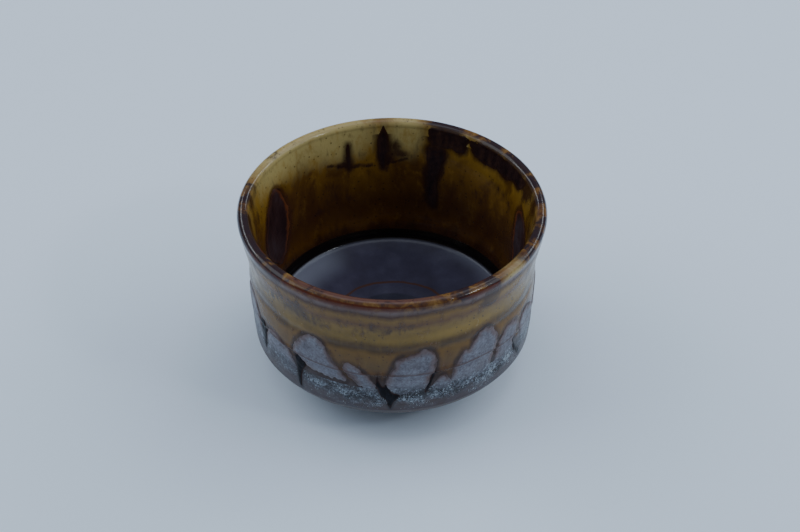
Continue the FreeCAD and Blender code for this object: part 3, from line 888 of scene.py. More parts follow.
def make_outer_amber():
    """The outer amber, darker where it meets petals and runs."""
    material, nodes, shader, place = start_finish("outer_amber", specular=0.3)
    colour, mottle, spots = outer_ground(nodes, place)
    gap = shifted(nodes, nodes.attribute("petal_depth"), mottle, 2.2)
    colour = nodes.mix(nodes.spread(gap, -4.0, -2.0, 0.0, 0.35), colour, (0.170, 0.078, 0.016))
    low = nodes.spread(shifted(nodes, height_in(nodes, place), mottle, 4.0), 34.0, 31.5, 0.0, 0.85)
    colour = nodes.mix(low, colour, (0.066, 0.050, 0.056))
    shadow = nodes.math("MULTIPLY", nodes.spread(gap, -2.4, -0.4, 0.0, 0.9), fitful(nodes, place))
    colour = nodes.mix(shadow, colour, (0.028, 0.011, 0.008))
    wet_run = shifted(nodes, nodes.attribute("run_depth"), mottle, 2.0)
    colour = nodes.mix(nodes.spread(wet_run, -2.4, -0.3, 0.0, 0.85), colour, (0.026, 0.010, 0.008))
    crest = nodes.math("ABSOLUTE", shifted(nodes, nodes.attribute("above_ridge"), mottle, 1.2))
    colour = nodes.mix(nodes.spread(crest, 0.7, 0.1, 0.0, 0.55), colour, (0.060, 0.020, 0.008))
    rough = nodes.spread(mottle, 0.3, 0.7, 0.14, 0.28)
    relief = nodes.math("MULTIPLY_ADD", spots, -0.35, pebbled(nodes, place))
    finish(nodes, shader, colour, rough, relief, 0.00010)
    return material


def make_inner_amber():
    """The inner amber with leaf shadows, bled iron and the line of a pour."""
    material, nodes, shader, place = start_finish("inner_amber", specular=0.45)
    colour, mottle, spots = inner_ground(nodes, place)
    leaf = shifted(nodes, nodes.attribute("leaf_depth"), mottle, 1.6)
    colour = nodes.mix(nodes.spread(leaf, -2.4, -0.5, 0.0, 0.8), colour, (0.050, 0.015, 0.006))
    streak = shifted(nodes, nodes.attribute("streak_depth"), mottle, 4.0)
    colour = nodes.mix(nodes.spread(streak, -2.6, 0.4, 0.0, 0.9), colour, (0.026, 0.009, 0.007))
    pour = shifted(nodes, nodes.attribute("pour"), mottle, 3.4)
    colour = nodes.mix(nodes.spread(pour, 0.6, 1.2, 0.0, 0.8), colour, (0.022, 0.008, 0.006))
    rough = nodes.spread(mottle, 0.3, 0.7, 0.10, 0.22)
    relief = nodes.math("MULTIPLY_ADD", spots, -0.3, pebbled(nodes, place))
    finish(nodes, shader, colour, rough, relief, 0.00007)
    return material


def make_rim():
    """Tortoise-shell lip: khaki amber with navy-purple clouds, rose at the front and a dark line below."""
    material, nodes, shader, place = start_finish("rim_tortoiseshell", specular=0.32)
    mottle = nodes.noise(place, 230.0, 5.0, 0.68, 0.7)
    cloud = nodes.noise(place, 95.0, 4.0, 0.6, 0.6)
    colour = nodes.ramp(mottle, [
        (0.30, (0.230, 0.125, 0.036)), (0.44, (0.150, 0.068, 0.018)), (0.56, (0.085, 0.033, 0.013)),
        (0.70, (0.040, 0.015, 0.012)),
    ])
    pale = shifted(nodes, nodes.attribute("khaki"), mottle, 1.0)
    colour = nodes.mix(nodes.spread(pale, 0.25, 0.8, 0.0, 0.9), colour, (0.400, 0.300, 0.125))
    rose = shifted(nodes, nodes.attribute("rose"), mottle, 1.0)
    colour = nodes.mix(nodes.spread(rose, 0.15, 0.7, 0.0, 0.92), colour, (0.110, 0.046, 0.036))
    stain = shifted(nodes, shifted(nodes, nodes.attribute("stain"), cloud, 1.5), mottle, 1.5)
    colour = nodes.mix(nodes.spread(stain, 0.18, 0.62, 0.0, 0.95), colour, (0.021, 0.010, 0.015))
    edge = shifted(nodes, nodes.attribute("red_edge"), mottle, 0.9)
    colour = nodes.mix(nodes.spread(edge, 0.3, 0.75, 0.0, 0.9), colour, (0.085, 0.016, 0.006))
    spots = pinholes(nodes, place, 640.0, 0.32, 0.4)
    colour = nodes.mix(nodes.math("MULTIPLY", spots, 0.6), colour, (0.030, 0.014, 0.012))
    inside, _, _ = inner_ground(nodes, place)
    colour = nodes.mix(nodes.attribute("inner_side"), colour, inside)
    # Below the bead on the outside, the outer ground colour, with its painted reflection band.
    outside, _, _ = outer_ground(nodes, place)
    colour = nodes.mix(nodes.attribute("outer_side"), colour, outside)
    rough = nodes.spread(mottle, 0.3, 0.7, 0.09, 0.17)
    relief = nodes.math("MULTIPLY_ADD", spots, -0.3, pebbled(nodes, place))
    finish(nodes, shader, colour, rough, relief, 0.00006)
    return material


LILAC = (0.115, 0.108, 0.132)


def ash_colour(nodes, place):
    """Blue-white ash speckle with black pits: its colour, and how pitted it is."""
    grain = nodes.noise(place, 950.0, 4.0, 0.75)
    cloud = nodes.noise(place, 170.0, 3.0, 0.6)
    mixed = shifted(nodes, grain, cloud, 0.55)
    colour = nodes.ramp(mixed, [
        (0.40, (0.012, 0.010, 0.014)), (0.48, (0.056, 0.054, 0.068)), (0.57, (0.120, 0.145, 0.180)),
        (0.68, (0.420, 0.470, 0.520)),
    ])
    return colour, mixed


def make_hip():
    """Purple-brown satin, ash speckle towards the waist and a thin brown strip under the arris."""
    material, nodes, shader, place = start_finish("hip_purple", specular=0.35, coat=0.08, coat_roughness=0.2)
    up = height_in(nodes, place)
    mottle = nodes.noise(place, 260.0, 4.0, 0.65)
    runs = nodes.noise(runny(nodes, place, 200.0, 60.0), 1.0, 3.0, 0.6)
    colour = nodes.ramp(mottle, [
        (0.32, (0.052, 0.032, 0.034)), (0.50, (0.070, 0.049, 0.053)), (0.66, (0.086, 0.072, 0.082)),
    ])
    levels = nodes.noise(nodes.vector("MULTIPLY", place, (70, 70, 620)), 1.0, 4.0, 0.6, 0.4)
    colour = nodes.mix(nodes.spread(levels, 0.50, 0.64, 0.0, 0.6), colour, (0.060, 0.032, 0.028))
    colour = nodes.mix(nodes.spread(levels, 0.46, 0.34, 0.0, 0.55), colour, (0.076, 0.086, 0.098))
    ash, grain = ash_colour(nodes, place)
    ashy = shifted(nodes, shifted(nodes, up, runs, 10.0), mottle, 14.0)
    front = nodes.attribute("ash")
    amount = nodes.math("MULTIPLY", nodes.spread(ashy, 20.0, 26.5), front)
    colour = nodes.mix(amount, colour, ash)
    dark = nodes.math("MULTIPLY", nodes.attribute("pitted"), nodes.spread(grain, 0.80, 0.5))
    colour = nodes.mix(dark, colour, (0.012, 0.010, 0.013))
    petal = shifted(nodes, nodes.attribute("petal_depth"), mottle, 1.6)
    wash = nodes.math("MULTIPLY", nodes.spread(petal, -0.3, 1.2), nodes.spread(up, 22.0, 29.0))
    colour = nodes.mix(nodes.math("MULTIPLY", wash, 0.5), colour, LILAC)
    between = nodes.math("MULTIPLY", nodes.spread(petal, -0.4, -2.0), nodes.spread(up, 26.5, 30.0))
    colour = nodes.mix(nodes.math("MULTIPLY", between, 0.85), colour, (0.028, 0.014, 0.012))
    run = shifted(nodes, nodes.attribute("run_depth"), mottle, 1.4)
    colour = nodes.mix(nodes.spread(run, -1.3, 0.0, 0.0, 0.85), colour, (0.016, 0.012, 0.016))
    edge = shifted(nodes, up, mottle, 2.0)
    strip = nodes.math("MULTIPLY", nodes.spread(edge, 16.2, 17.0), nodes.spread(edge, 18.6, 17.8))
    colour = nodes.mix(nodes.math("MULTIPLY", strip, 0.5), colour, (0.085, 0.048, 0.032))
    rough = nodes.spread(mottle, 0.3, 0.7, 0.30, 0.44)
    relief = nodes.math("MULTIPLY_ADD", grain, 0.5, pebbled(nodes, place))
    finish(nodes, shader, colour, rough, relief, 0.00022)
    return material


def make_floor():
    """Navy-dark glass pooled in the bottom, with a painted reflection on its left and right edges and
    painted shade in the corner by the wall.
    """
    material, nodes, shader, place = start_finish("floor_navy", specular=0.25)
    mottle = nodes.noise(place, 90.0, 4.0, 0.55)
    colour = nodes.ramp(mottle, [
        (0.30, (0.044, 0.039, 0.064)), (0.55, (0.056, 0.051, 0.086)), (0.72, (0.072, 0.066, 0.106)),
    ])
    flat = nodes.vector("MULTIPLY", place, (1, 1, 0))
    from_axis = nodes.math("MULTIPLY", nodes.vector("LENGTH", flat), 1 / MM)
    side = nodes.separate(nodes.vector("NORMALIZE", flat))[0]
    still = nodes.spread(from_axis, 18.6, 17.2, 0.0, 0.55)
    colour = nodes.mix(still, colour, (0.020, 0.022, 0.032))
    # Painted reflection: pale blue-grey crescents on the left and right edges of the dish, narrower on the
    # right, where the lights would reflect.
    narrowing = nodes.spread(side, -0.5, 0.6, 0.0, 8.0)
    reach = nodes.math("SUBTRACT", from_axis, narrowing)
    sideways = nodes.spread(nodes.math("ABSOLUTE", side), 0.38, 0.72)
    painted_side_reflection = nodes.math("MULTIPLY", nodes.spread(reach, 32.0, 44.0), sideways)
    colour = nodes.mix(nodes.math("MULTIPLY", painted_side_reflection, 0.85), colour, (0.175, 0.180, 0.235))
    # Painted shade: near-black in the corner where the floor curves up into the wall.
    painted_corner_shade = nodes.spread(from_axis, FLOOR_RADIUS - 2.4, FLOOR_RADIUS - 1.5)
    colour = nodes.mix(painted_corner_shade, colour, (0.006, 0.004, 0.004))
    rust = nodes.math("MULTIPLY", nodes.spread(from_axis, FLOOR_RADIUS - 0.4, FLOOR_RADIUS - 0.1), mottle)
    colour = nodes.mix(rust, colour, (0.045, 0.016, 0.006))
    ring = shifted(nodes, from_axis, mottle, 3.0)
    ring = nodes.math("ABSOLUTE", nodes.math("SUBTRACT", ring, POOL_RADIUS + 2.5))
    ring = nodes.spread(ring, 0.9, 0.2)
    colour = nodes.mix(nodes.math("MULTIPLY", ring, 0.8), colour, (0.085, 0.035, 0.018))
    rough = nodes.spread(mottle, 0.3, 0.7, 0.08, 0.16)
    finish(nodes, shader, colour, rough, pebbled(nodes, place), 0.00012)
    return material


def make_petal():
    """Lilac-grey overglaze, finely speckled, with a rust rim and a dark outline."""
    material, nodes, shader, place = start_finish("petal_lilac", specular=0.4)
    up = height_in(nodes, place)
    grain = nodes.noise(place, 1000.0, 3.0, 0.7)
    cloud = nodes.noise(place, 130.0, 3.0, 0.55)
    tone = shifted(nodes, 0.5, cloud, 0.6)
    tone = shifted(nodes, tone, grain, 0.8)
    colour = nodes.ramp(tone, [
        (0.28, (0.072, 0.063, 0.078)), (0.46, (0.138, 0.130, 0.156)), (0.60, (0.186, 0.188, 0.224)),
        (0.78, (0.270, 0.282, 0.325)),
    ])
    broad = nodes.noise(place, 70.0, 3.0, 0.55, 0.4)
    colour = nodes.mix(nodes.spread(broad, 0.52, 0.70, 0.0, 0.35), colour, (0.098, 0.066, 0.068))
    ash, ash_grain = ash_colour(nodes, place)
    low = nodes.spread(shifted(nodes, up, broad, 9.0), 33.0, 28.0, 0.0, 0.75)
    colour = nodes.mix(low, colour, ash)
    pitted = nodes.math("MULTIPLY", nodes.attribute("pitted"), nodes.spread(ash_grain, 0.80, 0.5))
    colour = nodes.mix(pitted, colour, (0.012, 0.010, 0.013))
    depth = shifted(nodes, shifted(nodes, nodes.attribute("edge_depth"), cloud, 4.5), grain, 1.0)
    rosy = nodes.math("MULTIPLY", nodes.spread(depth, 3.0, 0.5), nodes.spread(up, 28.0, 35.0))
    colour = nodes.mix(nodes.math("MULTIPLY", rosy, 0.7), colour, (0.130, 0.070, 0.058))
    outline = nodes.math("MULTIPLY", nodes.spread(depth, 0.8, 0.1), nodes.spread(up, 28.0, 34.0))
    outline = nodes.math("MULTIPLY", outline, fitful(nodes, place))
    colour = nodes.mix(nodes.math("MULTIPLY", outline, 0.85), colour, (0.040, 0.015, 0.010))
    crest = nodes.math("ABSOLUTE", shifted(nodes, nodes.attribute("above_ridge"), cloud, 1.6))
    colour = nodes.mix(nodes.spread(crest, 0.9, 0.15, 0.0, 0.75), colour, (0.075, 0.034, 0.028))
    spots = pinholes(nodes, place, 820.0, 0.34, 0.45)
    colour = nodes.mix(nodes.math("MULTIPLY", spots, 0.6), colour, (0.036, 0.032, 0.044))
    rough = nodes.spread(tone, 0.3, 0.7, 0.46, 0.32)
    relief = nodes.math("MULTIPLY_ADD", spots, -0.4, pebbled(nodes, place))
    relief = nodes.math("MULTIPLY_ADD", grain, 0.5, relief)
    finish(nodes, shader, colour, rough, relief, 0.00020)
    return material


def make_run():
    """Blue-black glass that ran between the petals."""
    material, nodes, shader, place = start_finish("run_black", specular=0.08)
    mottle = nodes.noise(runny(nodes, place, 420.0, 160.0), 1.0, 4.0, 0.6)
    colour = nodes.ramp(mottle, [
        (0.30, (0.003, 0.002, 0.003)), (0.52, (0.006, 0.005, 0.007)), (0.70, (0.018, 0.018, 0.026)),
    ])
    rust = nodes.math("MULTIPLY", nodes.spread(nodes.attribute("edge_depth"), 0.7, 0.1), mottle)
    colour = nodes.mix(rust, colour, (0.060, 0.024, 0.016))
    rough = nodes.spread(mottle, 0.3, 0.7, 0.14, 0.28)
    finish(nodes, shader, colour, rough, pebbled(nodes, place), 0.00018)
    return material


def make_leaf():
    """Matt blue-black leaf shadow with a rust border."""
    material, nodes, shader, place = start_finish("leaf_blue", specular=0.35)
    mottle = nodes.noise(runny(nodes, place, 170.0, 80.0), 1.0, 4.0, 0.55)
    colour = nodes.ramp(mottle, [
        (0.32, (0.020, 0.008, 0.008)), (0.52, (0.034, 0.014, 0.014)), (0.70, (0.052, 0.034, 0.042)),
    ])
    depth = shifted(nodes, nodes.attribute("edge_depth"), mottle, 2.6)
    rust_side = nodes.spread(nodes.attribute("rust_side"), 0.0, 0.6, 0.25, 1.0)
    rust = nodes.math("MULTIPLY", nodes.spread(depth, 2.2, 1.0), rust_side)
    colour = nodes.mix(rust, colour, (0.120, 0.034, 0.010))
    colour = nodes.mix(nodes.spread(depth, 0.7, 0.2, 0.0, 0.85), colour, (0.012, 0.005, 0.004))
    rough = nodes.spread(mottle, 0.3, 0.7, 0.30, 0.5)
    finish(nodes, shader, colour, rough, pebbled(nodes, place), 0.00018)
    return material


def make_iron():
    """Dark iron that bled down from the lip, feathered at its edge."""
    material, nodes, shader, place = start_finish("iron_brown", specular=0.36)
    mottle = nodes.noise(runny(nodes, place, 300.0, 110.0), 1.0, 4.0, 0.65)
    colour = nodes.ramp(mottle, [
        (0.30, (0.010, 0.006, 0.008)), (0.50, (0.024, 0.012, 0.013)), (0.66, (0.040, 0.018, 0.014)),
        (0.80, (0.090, 0.050, 0.030)),
    ])
    depth = shifted(nodes, nodes.attribute("edge_depth"), mottle, 3.5)
    colour = nodes.mix(nodes.spread(depth, 1.5, -0.2, 0.0, 0.9), colour, (0.034, 0.013, 0.007))
    rough = nodes.spread(mottle, 0.3, 0.7, 0.12, 0.26)
    finish(nodes, shader, colour, rough, pebbled(nodes, place), 0.00018)
    return material


def make_speck(name, colour, roughness):
    """One grain of ash or iron melted into the glaze."""
    material, nodes, shader, place = start_finish(name, specular=0.5)
    grain = nodes.noise(place, 1500.0, 3.0, 0.6)
    darker = tuple(part * 0.55 for part in colour)
    tone = nodes.mix(nodes.spread(grain, 0.35, 0.65), darker, colour)
    rough = nodes.spread(grain, 0.3, 0.7, roughness, roughness + 0.12)
    finish(nodes, shader, tone, rough, grain, 0.00005)
    return material


CLAY = make_clay()
AMBER_OUT = make_outer_amber()
AMBER_IN = make_inner_amber()
RIM = make_rim()
HIP = make_hip()
FLOOR = make_floor()
PETAL = make_petal()
RUN = make_run()
LEAF = make_leaf()
IRON = make_iron()
ASH_SPECK = make_speck("ash_speck", (0.47, 0.53, 0.59), 0.3)
RUST_SPECK = make_speck("rust_speck", (0.170, 0.062, 0.030), 0.3)
PIT_SPECK = make_speck("pit_speck", (0.012, 0.010, 0.013), 0.2)

# ------------------------------------------------------------------ turned pieces

OUTSIDE_LINE = joined(UNDERSIDE, WALL)
CLAY_LINE = [
    (0.0, FOOT_TOP - 0.95), (6.0, FOOT_TOP - 0.6), (12.0, FOOT_TOP), (22.0, FOOT_TOP),
    (33.0, FOOT_TOP + 0.1),
    (38.5, FOOT_TOP + 1.2), (42.4, FOOT_TOP + 2.4), (44.6, BARE_LINE + 0.2),
]


def clay_outline():
    """The bare underside as seen, then the faces that the glazes hide."""
    seen = smooth_line(CLAY_LINE, 0.6)
    outer = inset(joined(UNDERSIDE, WALL, LIP, INNER_WALL, DISH, POOL), GLAZE)
    return np.vstack([seen, outer[1:]])


FOOT_OUTLINE = np.vstack([
    smooth_line(
        [(24.6, 0.0), (26.5, 0.0), (28.4, 0.0), (29.2, 0.35), (29.6, 1.1), (30.0, 3.0),
         (31.0, FOOT_TOP + 0.2)], 0.3
    ),
    smooth_line([(23.5, FOOT_TOP + 0.2), (23.5, 3.0), (23.5, 1.1), (23.8, 0.35)], 0.3),
])
FOOT_OUTLINE[:, 1] = np.maximum(FOOT_OUTLINE[:, 1], 0.0)
TURNED = {
    "clay_body": (clay_outline(), CLAY, False),
    "foot_ring": (FOOT_OUTLINE, CLAY, True),
    "hip_glaze": (skin(joined(UNDERSIDE, below(WALL, WAIST_LINE))), HIP, True),
    "upper_glaze": (skin(below(above(WALL, WAIST_LINE), RIM_LINE)), AMBER_OUT, True),
    "rim_glaze": (skin(joined(above(WALL, RIM_LINE), LIP[1:], above(INNER_WALL, RIM_LINE))), RIM, True),
    "inner_wall_glaze": (skin(below(INNER_WALL, RIM_LINE)), AMBER_IN, True),
    "floor_glaze": (skin(DISH), FLOOR, True),
    "pool_glaze": (np.vstack([inset(POOL, GLAZE)[::-1], POOL]), FLOOR, False),
}

PIECES = {}
for node, (points, material, closed) in TURNED.items():
    piece = turned_piece(node + "_look", points, material, closed)
    carve(piece)
    face_outwards(piece)
    PIECES[node] = [piece]


def cut_trimming_spiral(piece):
    """The spiral that the trimming tool leaves under the bowl."""
    azimuth, radius, height = vertex_places(piece)
    turns = radius / 1.7 - azimuth / 360
    under = np.clip((FOOT_TOP + 5 - height) / 1.5, 0, 1) * np.clip((radius - 1.5) / 2, 0, 1)
    groove = 0.13 * (np.abs(np.sin(np.pi * turns)) - 0.6)
    move_vertices(piece, azimuth, radius, height + groove * under)


cut_trimming_spiral(PIECES["clay_body"][0])

BUBBLES = [(291.0, 74.2, 0.62, 0.34), (289.2, 74.4, 0.35, 0.18)]


def raise_bubbles(piece):
    """Blisters in the lip's glaze: azimuth, height, radius and rise."""
    azimuth, radius, height = vertex_places(piece)
    outward, upward = radius - LIP_CENTRE[0], height - LIP_CENTRE[1]
    from_centre = np.hypot(outward, upward)
    face = (outward > 0) & (from_centre > LIP_BEAD - 0.3)
    for middle, level, reach, rise in BUBBLES:
        across = turn_from(azimuth, middle) * math.radians(RIM_RADIUS)
        lift = face * rise * np.exp(-((across**2 + (height - level) ** 2 * 2) / reach**2))
        radius = radius + lift * outward / np.maximum(from_centre, 0.1)
        height = height + lift * upward / np.maximum(from_centre, 0.1)
    move_vertices(piece, azimuth, radius, np.minimum(height, HEIGHT))


raise_bubbles(PIECES["rim_glaze"][0])

for node in ("hip_glaze", "upper_glaze"):
    store_outside_marks(PIECES[node][0])
store_inside_marks(PIECES["inner_wall_glaze"][0])
store_hip_marks(PIECES["hip_glaze"][0])
store_rim_marks(PIECES["rim_glaze"][0])

# ------------------------------------------------------------------ marks laid on the wall


def make_laying_tree():
    """Wraps a flat mark (X across, Y lift, Z up) on a wall, by rays that start from or end at the axis."""
    inputs = [
        ("Wall", "Object"), ("Azimuth", "Float"), ("Arc radius", "Float"), ("Ray start", "Float"),
        ("Ray side", "Float"), ("Material", "Material"),
    ]
    tree, nodes, entry = geometry_tree("laying", inputs)
    wall = nodes.add("GeometryNodeObjectInfo", {"Object": entry.outputs["Wall"]}).outputs["Geometry"]
    flat = nodes.separate(nodes.add("GeometryNodeInputPosition").outputs[0])
    turn = nodes.math("DIVIDE", flat[0], entry.outputs["Arc radius"])
    turn = nodes.math("ADD", turn, entry.outputs["Azimuth"])
    outward = nodes.combine(nodes.math("COSINE", turn), nodes.math("SINE", turn), 0.0)
    start = nodes.vector("SCALE", outward, None, entry.outputs["Ray start"])
    start = nodes.vector("ADD", start, nodes.combine(0.0, 0.0, flat[2]))
    ray = nodes.vector("SCALE", outward, None, entry.outputs["Ray side"])
    cast = nodes.add(
        "GeometryNodeRaycast",
        {"Target Geometry": wall, "Source Position": start, "Ray Direction": ray, "Ray Length": 1.0},
    )
    back = nodes.vector("SCALE", ray, None, nodes.math("MULTIPLY", flat[1], -1.0))
    landed = nodes.vector("ADD", cast.outputs["Hit Position"], back)
    laid = nodes.add(
        "GeometryNodeSetPosition",
        {"Geometry": entry.outputs[0], "Selection": cast.outputs["Is Hit"], "Position": landed},
    ).outputs[0]
    finish_tree(nodes, entry, smooth_faces(nodes, laid))
    return tree


LAYING = make_laying_tree()
MARK_GRID = 0.42
MARK_SINK = 0.45


def mark_lift(depth, height, rise, foot, fade):
    """How far a mark stands out of the wall: a rounded edge, and a foot that fades away."""
    inside = rise * (1 - np.exp(-np.maximum(depth, 0) / 0.55)) * np.exp(-np.maximum(depth - 3, 0) / 14)
    outside = np.minimum(depth, 0) * 0.8
    sunk = np.clip((foot + fade - height) / fade, 0, 1) if fade else 0.0
    return np.maximum((inside + outside) * (1 - sunk) - 0.12 * sunk, -MARK_SINK * 0.7)


def flat_mark(name, middle, loop, rise, fade, arc_length):
    """A closed flat mark: a lifted face over a sunk back, with its edge depth stored."""
    low, high = loop.min(axis=0) - 0.9, loop.max(axis=0) + 0.9
    columns = int(math.ceil((high[0] - low[0]) / MARK_GRID)) + 1
    rows = int(math.ceil((high[1] - low[1]) / MARK_GRID)) + 1
    across, up = np.meshgrid(np.linspace(low[0], high[0], columns), np.linspace(low[1], high[1], rows))
    across, up = across.ravel(), up.ravel()
    depth = signed_distance(loop, across, up)
    sway = sum(
        reach * np.sin(across * rate + phase) * np.cos(up * rate * 0.9 + phase * 1.7)
        for reach, rate, phase in ((0.34, 0.9, middle), (0.2, 1.9, middle * 2), (0.1, 4.1, middle * 3))
    )
    depth = depth + sway * np.clip((np.ptp(across) - 5) / 8, 0.25, 1)
    grain = 0.05 * np.sin(across * 1.7 + up * 0.9) * np.sin(up * 1.3 - across * 0.6)
    lift = mark_lift(depth, up, rise, loop[:, 1].min(), fade) + grain * (depth > 0.6)
    kept = depth > -0.9
    cells = np.arange(rows * columns).reshape(rows, columns)
    corners = [cells[:-1, :-1], cells[:-1, 1:], cells[1:, 1:], cells[1:, :-1]]
    corners = np.stack(corners, axis=-1).reshape(-1, 4)
    faces = corners[kept[corners].all(axis=1)]
    count = rows * columns
    edges = np.concatenate([faces[:, [side, (side + 1) % 4]] for side in range(4)])
    keys = {tuple(edge) for edge in edges.tolist()}
    border = np.array([edge for edge in edges.tolist() if (edge[1], edge[0]) not in keys])
    walls = np.column_stack([border[:, 1], border[:, 0], border[:, 0] + count, border[:, 1] + count])
    everything = np.vstack([faces, faces[:, ::-1] + count, walls])
    points = np.vstack([
        np.column_stack([across, lift, up]),
        np.column_stack([across, np.full(count, -MARK_SINK), up]),
    ])
    used, renumbered = np.unique(everything, return_inverse=True)
    mesh = bpy.data.meshes.new(name)
    mesh.from_pydata((points[used] * MM).tolist(), [], renumbered.reshape(-1, 4).tolist())
    numbers = {
        "edge_depth": depth,
        "above_ridge": up - ridge_line(middle + across / arc_length),
        "pitted": soft_stains(PITTED_PATCHES, middle + across / arc_length, up),
        "rust_side": across / np.abs(across).max() * (1 if middle < 90 else -1),
    }
    for label, values in numbers.items():
        attribute = mesh.attributes.new(label, "FLOAT", "POINT")
        attribute.data.foreach_set("value", np.tile(values, 2)[used].astype(np.float32))
    return mesh


def laid_mark(node, place, wall, material, rise, fade, inside):
    """One mark of glaze, shaped flat and laid on its wall."""
    azimuth, loop = place
    arc = INSIDE_ARC if inside else OUTSIDE_ARC
    values = {
        "Wall": wall, "Azimuth": math.radians(azimuth),
        "Arc radius": INSIDE_RADIUS if inside else OUTSIDE_RADIUS,
        "Ray start": 0.0 if inside else 0.1, "Ray side": 1.0 if inside else -1.0, "Material": material,
    }
    piece = baked(node + "_look", flat_mark(node + "_flat", azimuth, loop, rise, fade, arc), LAYING, values)
    face_outwards(piece)
    return piece


OUTSIDE_WALL = turned_piece("outside_wall", joined(OUTSIDE_LINE, LIP[1:]), CLAY, closed=False)
carve(OUTSIDE_WALL)
INSIDE_WALL = turned_piece("inside_wall", joined(LIP, INNER_WALL[1:], DISH), CLAY, closed=False)

# Outlines, wall, material, rise in millimetres, how far the foot fades, and whether it faces inwards.
MARK_KINDS = (
    (PETAL_LOOPS, OUTSIDE_WALL, PETAL, 0.34, 7.0, False),
    (RUN_LOOPS, OUTSIDE_WALL, RUN, 0.26, 0.0, False),
    (LEAF_LOOPS, INSIDE_WALL, LEAF, 0.16, 0.0, True),
    (STREAK_LOOPS, INSIDE_WALL, IRON, 0.06, 0.0, True),
)
for loops, wall, material, rise, fade, inside in MARK_KINDS:
    for node, place in loops.items():
        PIECES[node] = [laid_mark(node, place, wall, material, rise, fade, inside)]


# ------------------------------------------------------------------ ash and pits scattered on the hip


def make_scatter_tree():
    """Scatters flat grains on a wall where a stored weight allows it."""
    inputs = [
        ("Density", "Float"), ("Smallest", "Float"), ("Largest", "Float"), ("Flatness", "Float"),
        ("Weight", "String"), ("Seed", "Int"), ("Material", "Material"),
    ]
    tree, nodes, entry = geometry_tree("scatter", inputs)
    stored = nodes.add("GeometryNodeInputNamedAttribute", {"Name": entry.outputs["Weight"]})
    weight = stored.outputs["Attribute"]
    patchy = nodes.noise(nodes.add("GeometryNodeInputPosition").outputs[0], 260.0, 2.0)
    weight = nodes.math("MULTIPLY", weight, nodes.spread(patchy, 0.42, 0.6))
    density = nodes.math("MULTIPLY", weight, entry.outputs["Density"])
    scattered = nodes.add(
        "GeometryNodeDistributePointsOnFaces",
        {"Mesh": entry.outputs[0], "Density": density, "Seed": entry.outputs["Seed"]},
    )
    grain = nodes.add("GeometryNodeMeshIcoSphere", {"Radius": 1.0, "Subdivisions": 1}).outputs[0]
    size = nodes.add(
        "FunctionNodeRandomValue",
        {2: entry.outputs["Smallest"], 3: entry.outputs["Largest"], "Seed": entry.outputs["Seed"]},
    ).outputs[1]
    thickness = nodes.math("MULTIPLY", size, entry.outputs["Flatness"])
    placed = nodes.add(
        "GeometryNodeInstanceOnPoints",
        {
            "Points": scattered.outputs["Points"], "Instance": grain,
            "Rotation": scattered.outputs["Rotation"],
            "Scale": nodes.combine(size, nodes.math("MULTIPLY", size, 0.8), thickness),
        },
    ).outputs[0]
    real = nodes.add("GeometryNodeRealizeInstances", {0: placed}).outputs[0]
    smooth = nodes.add("GeometryNodeSetShadeSmooth", {0: real}).outputs[0]
    finish_tree(nodes, entry, smooth)
    return tree


SCATTER = make_scatter_tree()
GRAIN_FLATNESS = 0.45
OUTER_FACE_RADIUS = 55.05
# name: weight read, grains for a square metre, smallest and largest radius in millimetres, seed, material
GRAINS = {
    "ash_grains": ("ash_weight", 4.5e6, 0.06, 0.17, 11, ASH_SPECK),
    "ash_beads": ("ash_weight", 3.0e5, 0.16, 0.30, 12, ASH_SPECK),
    "rust_grains": ("ash_weight", 6.0e5, 0.08, 0.20, 14, RUST_SPECK),
    "pit_grains": ("pit_weight", 6.0e6, 0.10, 0.30, 13, PIT_SPECK),
}


def store_grain_weights(piece):
    """Where ash and pits gather: a ragged band on the outer face of the hip."""
    azimuth, radius, height = vertex_places(piece)
    outer = radius > OUTER_FACE_RADIUS
    band = soft_stains(ASH_PATCHES, azimuth, height) ** 2
    store(piece, "ash_weight", np.where(outer, band, 0) * (height > 19))
    pits = np.clip(soft_stains(PITTED_PATCHES, azimuth, height) + 0.12 * band, 0, 1)
    store(piece, "pit_weight", np.where(outer, pits, 0) * (height > 19))


store_grain_weights(PIECES["hip_glaze"][0])
for name, (weight, density, smallest, largest, seed, material) in GRAINS.items():
    grain_values = {
        "Density": density, "Smallest": smallest * MM, "Largest": largest * MM,
        "Flatness": GRAIN_FLATNESS, "Weight": weight, "Seed": seed, "Material": material,
    }
    PIECES["hip_glaze"].append(baked(name, PIECES["hip_glaze"][0].data.copy(), SCATTER, grain_values))

for node, looks in PIECES.items():
    for look in looks:
        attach(look, "root")
        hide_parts(node)


# ------------------------------------------------------------------ table, light and camera

# Places and lengths in metres, the tilt in degrees, lens and sensor in millimetres, power in watts.
TABLE_HALF_WIDTH = 3.0
CAMERA_PLACE = (0.00305, -0.5217, 0.4762)
CAMERA_TILT = 50.36
LENS = 77.0
SENSOR_WIDTH = 36.0
ROOM_LIGHT = 0.60
LIGHT_COLOUR = (0.86, 0.94, 1.0)
# Name: place, the point it faces, width, height, power.
LIGHTS = {
    "left panel": ((-1.2, 0.10, 0.95), (0, 0, 0.03), 1.2, 1.0, 6.5),
    "right panel": ((1.2, 0.10, 0.95), (0, 0, 0.03), 1.2, 1.0, 6.5),
    "high panel": ((0.0, 0.08, 1.3), (0, 0, 0.03), 1.1, 0.7, 2.6),
    "front window": ((1.10, -0.59, 0.99), (0, 0, 0.05), 0.22, 0.15, 2.6),
    "right window": ((0.85, 0.80, 0.75), (0, 0, 0.05), 1.0, 0.14, 2.6),
    "left window": ((-0.85, 0.80, 0.75), (0, 0, 0.05), 1.0, 0.14, 2.6),
    "back lamp": ((0.43, 0.55, 1.10), (0, 0, 0.05), 0.50, 0.40, 1.1),
}


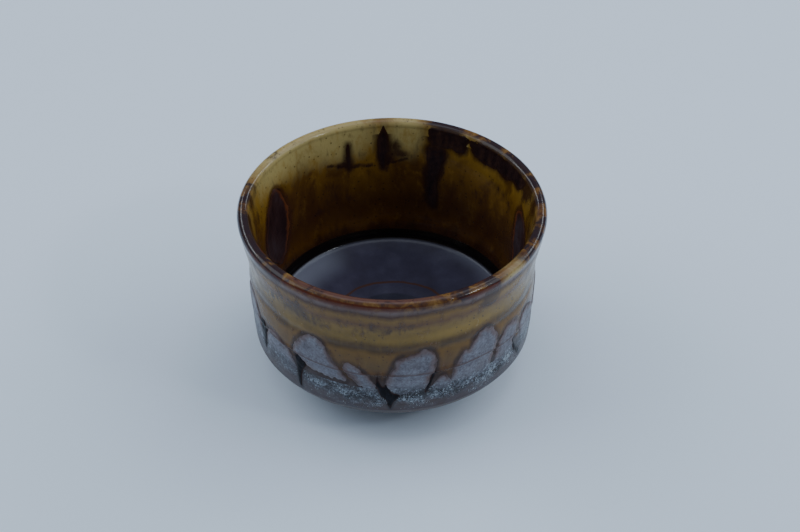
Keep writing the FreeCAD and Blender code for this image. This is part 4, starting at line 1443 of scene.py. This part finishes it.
def make_table():
    """A wide pale table."""
    mesh = bpy.data.meshes.new("table")
    half = TABLE_HALF_WIDTH
    corners = [(-half, -half, 0), (half, -half, 0), (half, half, 0), (-half, half, 0)]
    mesh.from_pydata(corners, [], [(0, 1, 2, 3)])
    table = bpy.data.objects.new("table", mesh)
    bpy.context.scene.collection.objects.link(table)
    table.data.materials.append(make_table_top())


def make_table_top():
    """Pale matt paper."""
    material, nodes, shader, place = start_finish("table_top", specular=0.2)
    tone = nodes.noise(place, 6.0, 2.0)
    colour = nodes.mix(tone, (0.725, 0.812, 0.945), (0.755, 0.842, 0.975))
    rough = nodes.spread(tone, 0.0, 1.0, 0.7, 0.8)
    finish(nodes, shader, colour, rough, nodes.noise(place, 900.0), 0.00002)
    return material


def add_area_light(name, place, aim, width, height, power):
    light = bpy.data.lights.new(name, "AREA")
    light.shape = "RECTANGLE"
    light.size = width
    light.size_y = height
    light.energy = power
    light.color = LIGHT_COLOUR
    lamp = bpy.data.objects.new(name, light)
    lamp.location = place
    lamp.rotation_euler = (Vector(aim) - Vector(place)).to_track_quat("-Z", "Y").to_euler()
    bpy.context.scene.collection.objects.link(lamp)


def make_camera():
    data = bpy.data.cameras.new("camera")
    data.sensor_width = SENSOR_WIDTH
    data.lens = LENS
    camera = bpy.data.objects.new("camera", data)
    camera.location = CAMERA_PLACE
    camera.rotation_euler = (math.radians(CAMERA_TILT), 0, 0)
    bpy.context.scene.collection.objects.link(camera)
    bpy.context.scene.camera = camera


def make_room_light():
    """Soft light from all round, brighter overhead and dimmer behind the camera."""
    world = bpy.data.worlds.new("room")
    bpy.context.scene.world = world
    world.use_nodes = True
    nodes = Nodes(world.node_tree)
    direction = nodes.separate(nodes.add("ShaderNodeTexCoord").outputs["Generated"])
    horizon = nodes.spread(direction[2], 0.1, 0.9, 0.46, 1.0)
    strength = nodes.math("MULTIPLY", horizon, nodes.spread(direction[1], 0.1, 0.6, 1.0, 0.5))
    strength = nodes.math("MULTIPLY", strength, nodes.spread(direction[1], -0.8, 0.0, 0.72, 1.0))
    background = world.node_tree.nodes["Background"]
    background.inputs["Color"].default_value = (0.74, 0.87, 1.0, 1.0)
    nodes.tree.links.new(nodes.math("MULTIPLY", strength, ROOM_LIGHT), background.inputs["Strength"])


bpy.data.objects.remove(OUTSIDE_WALL)
bpy.data.objects.remove(INSIDE_WALL)
make_table()
for light_name, settings in LIGHTS.items():
    add_area_light(light_name, *settings)
make_camera()
make_room_light()
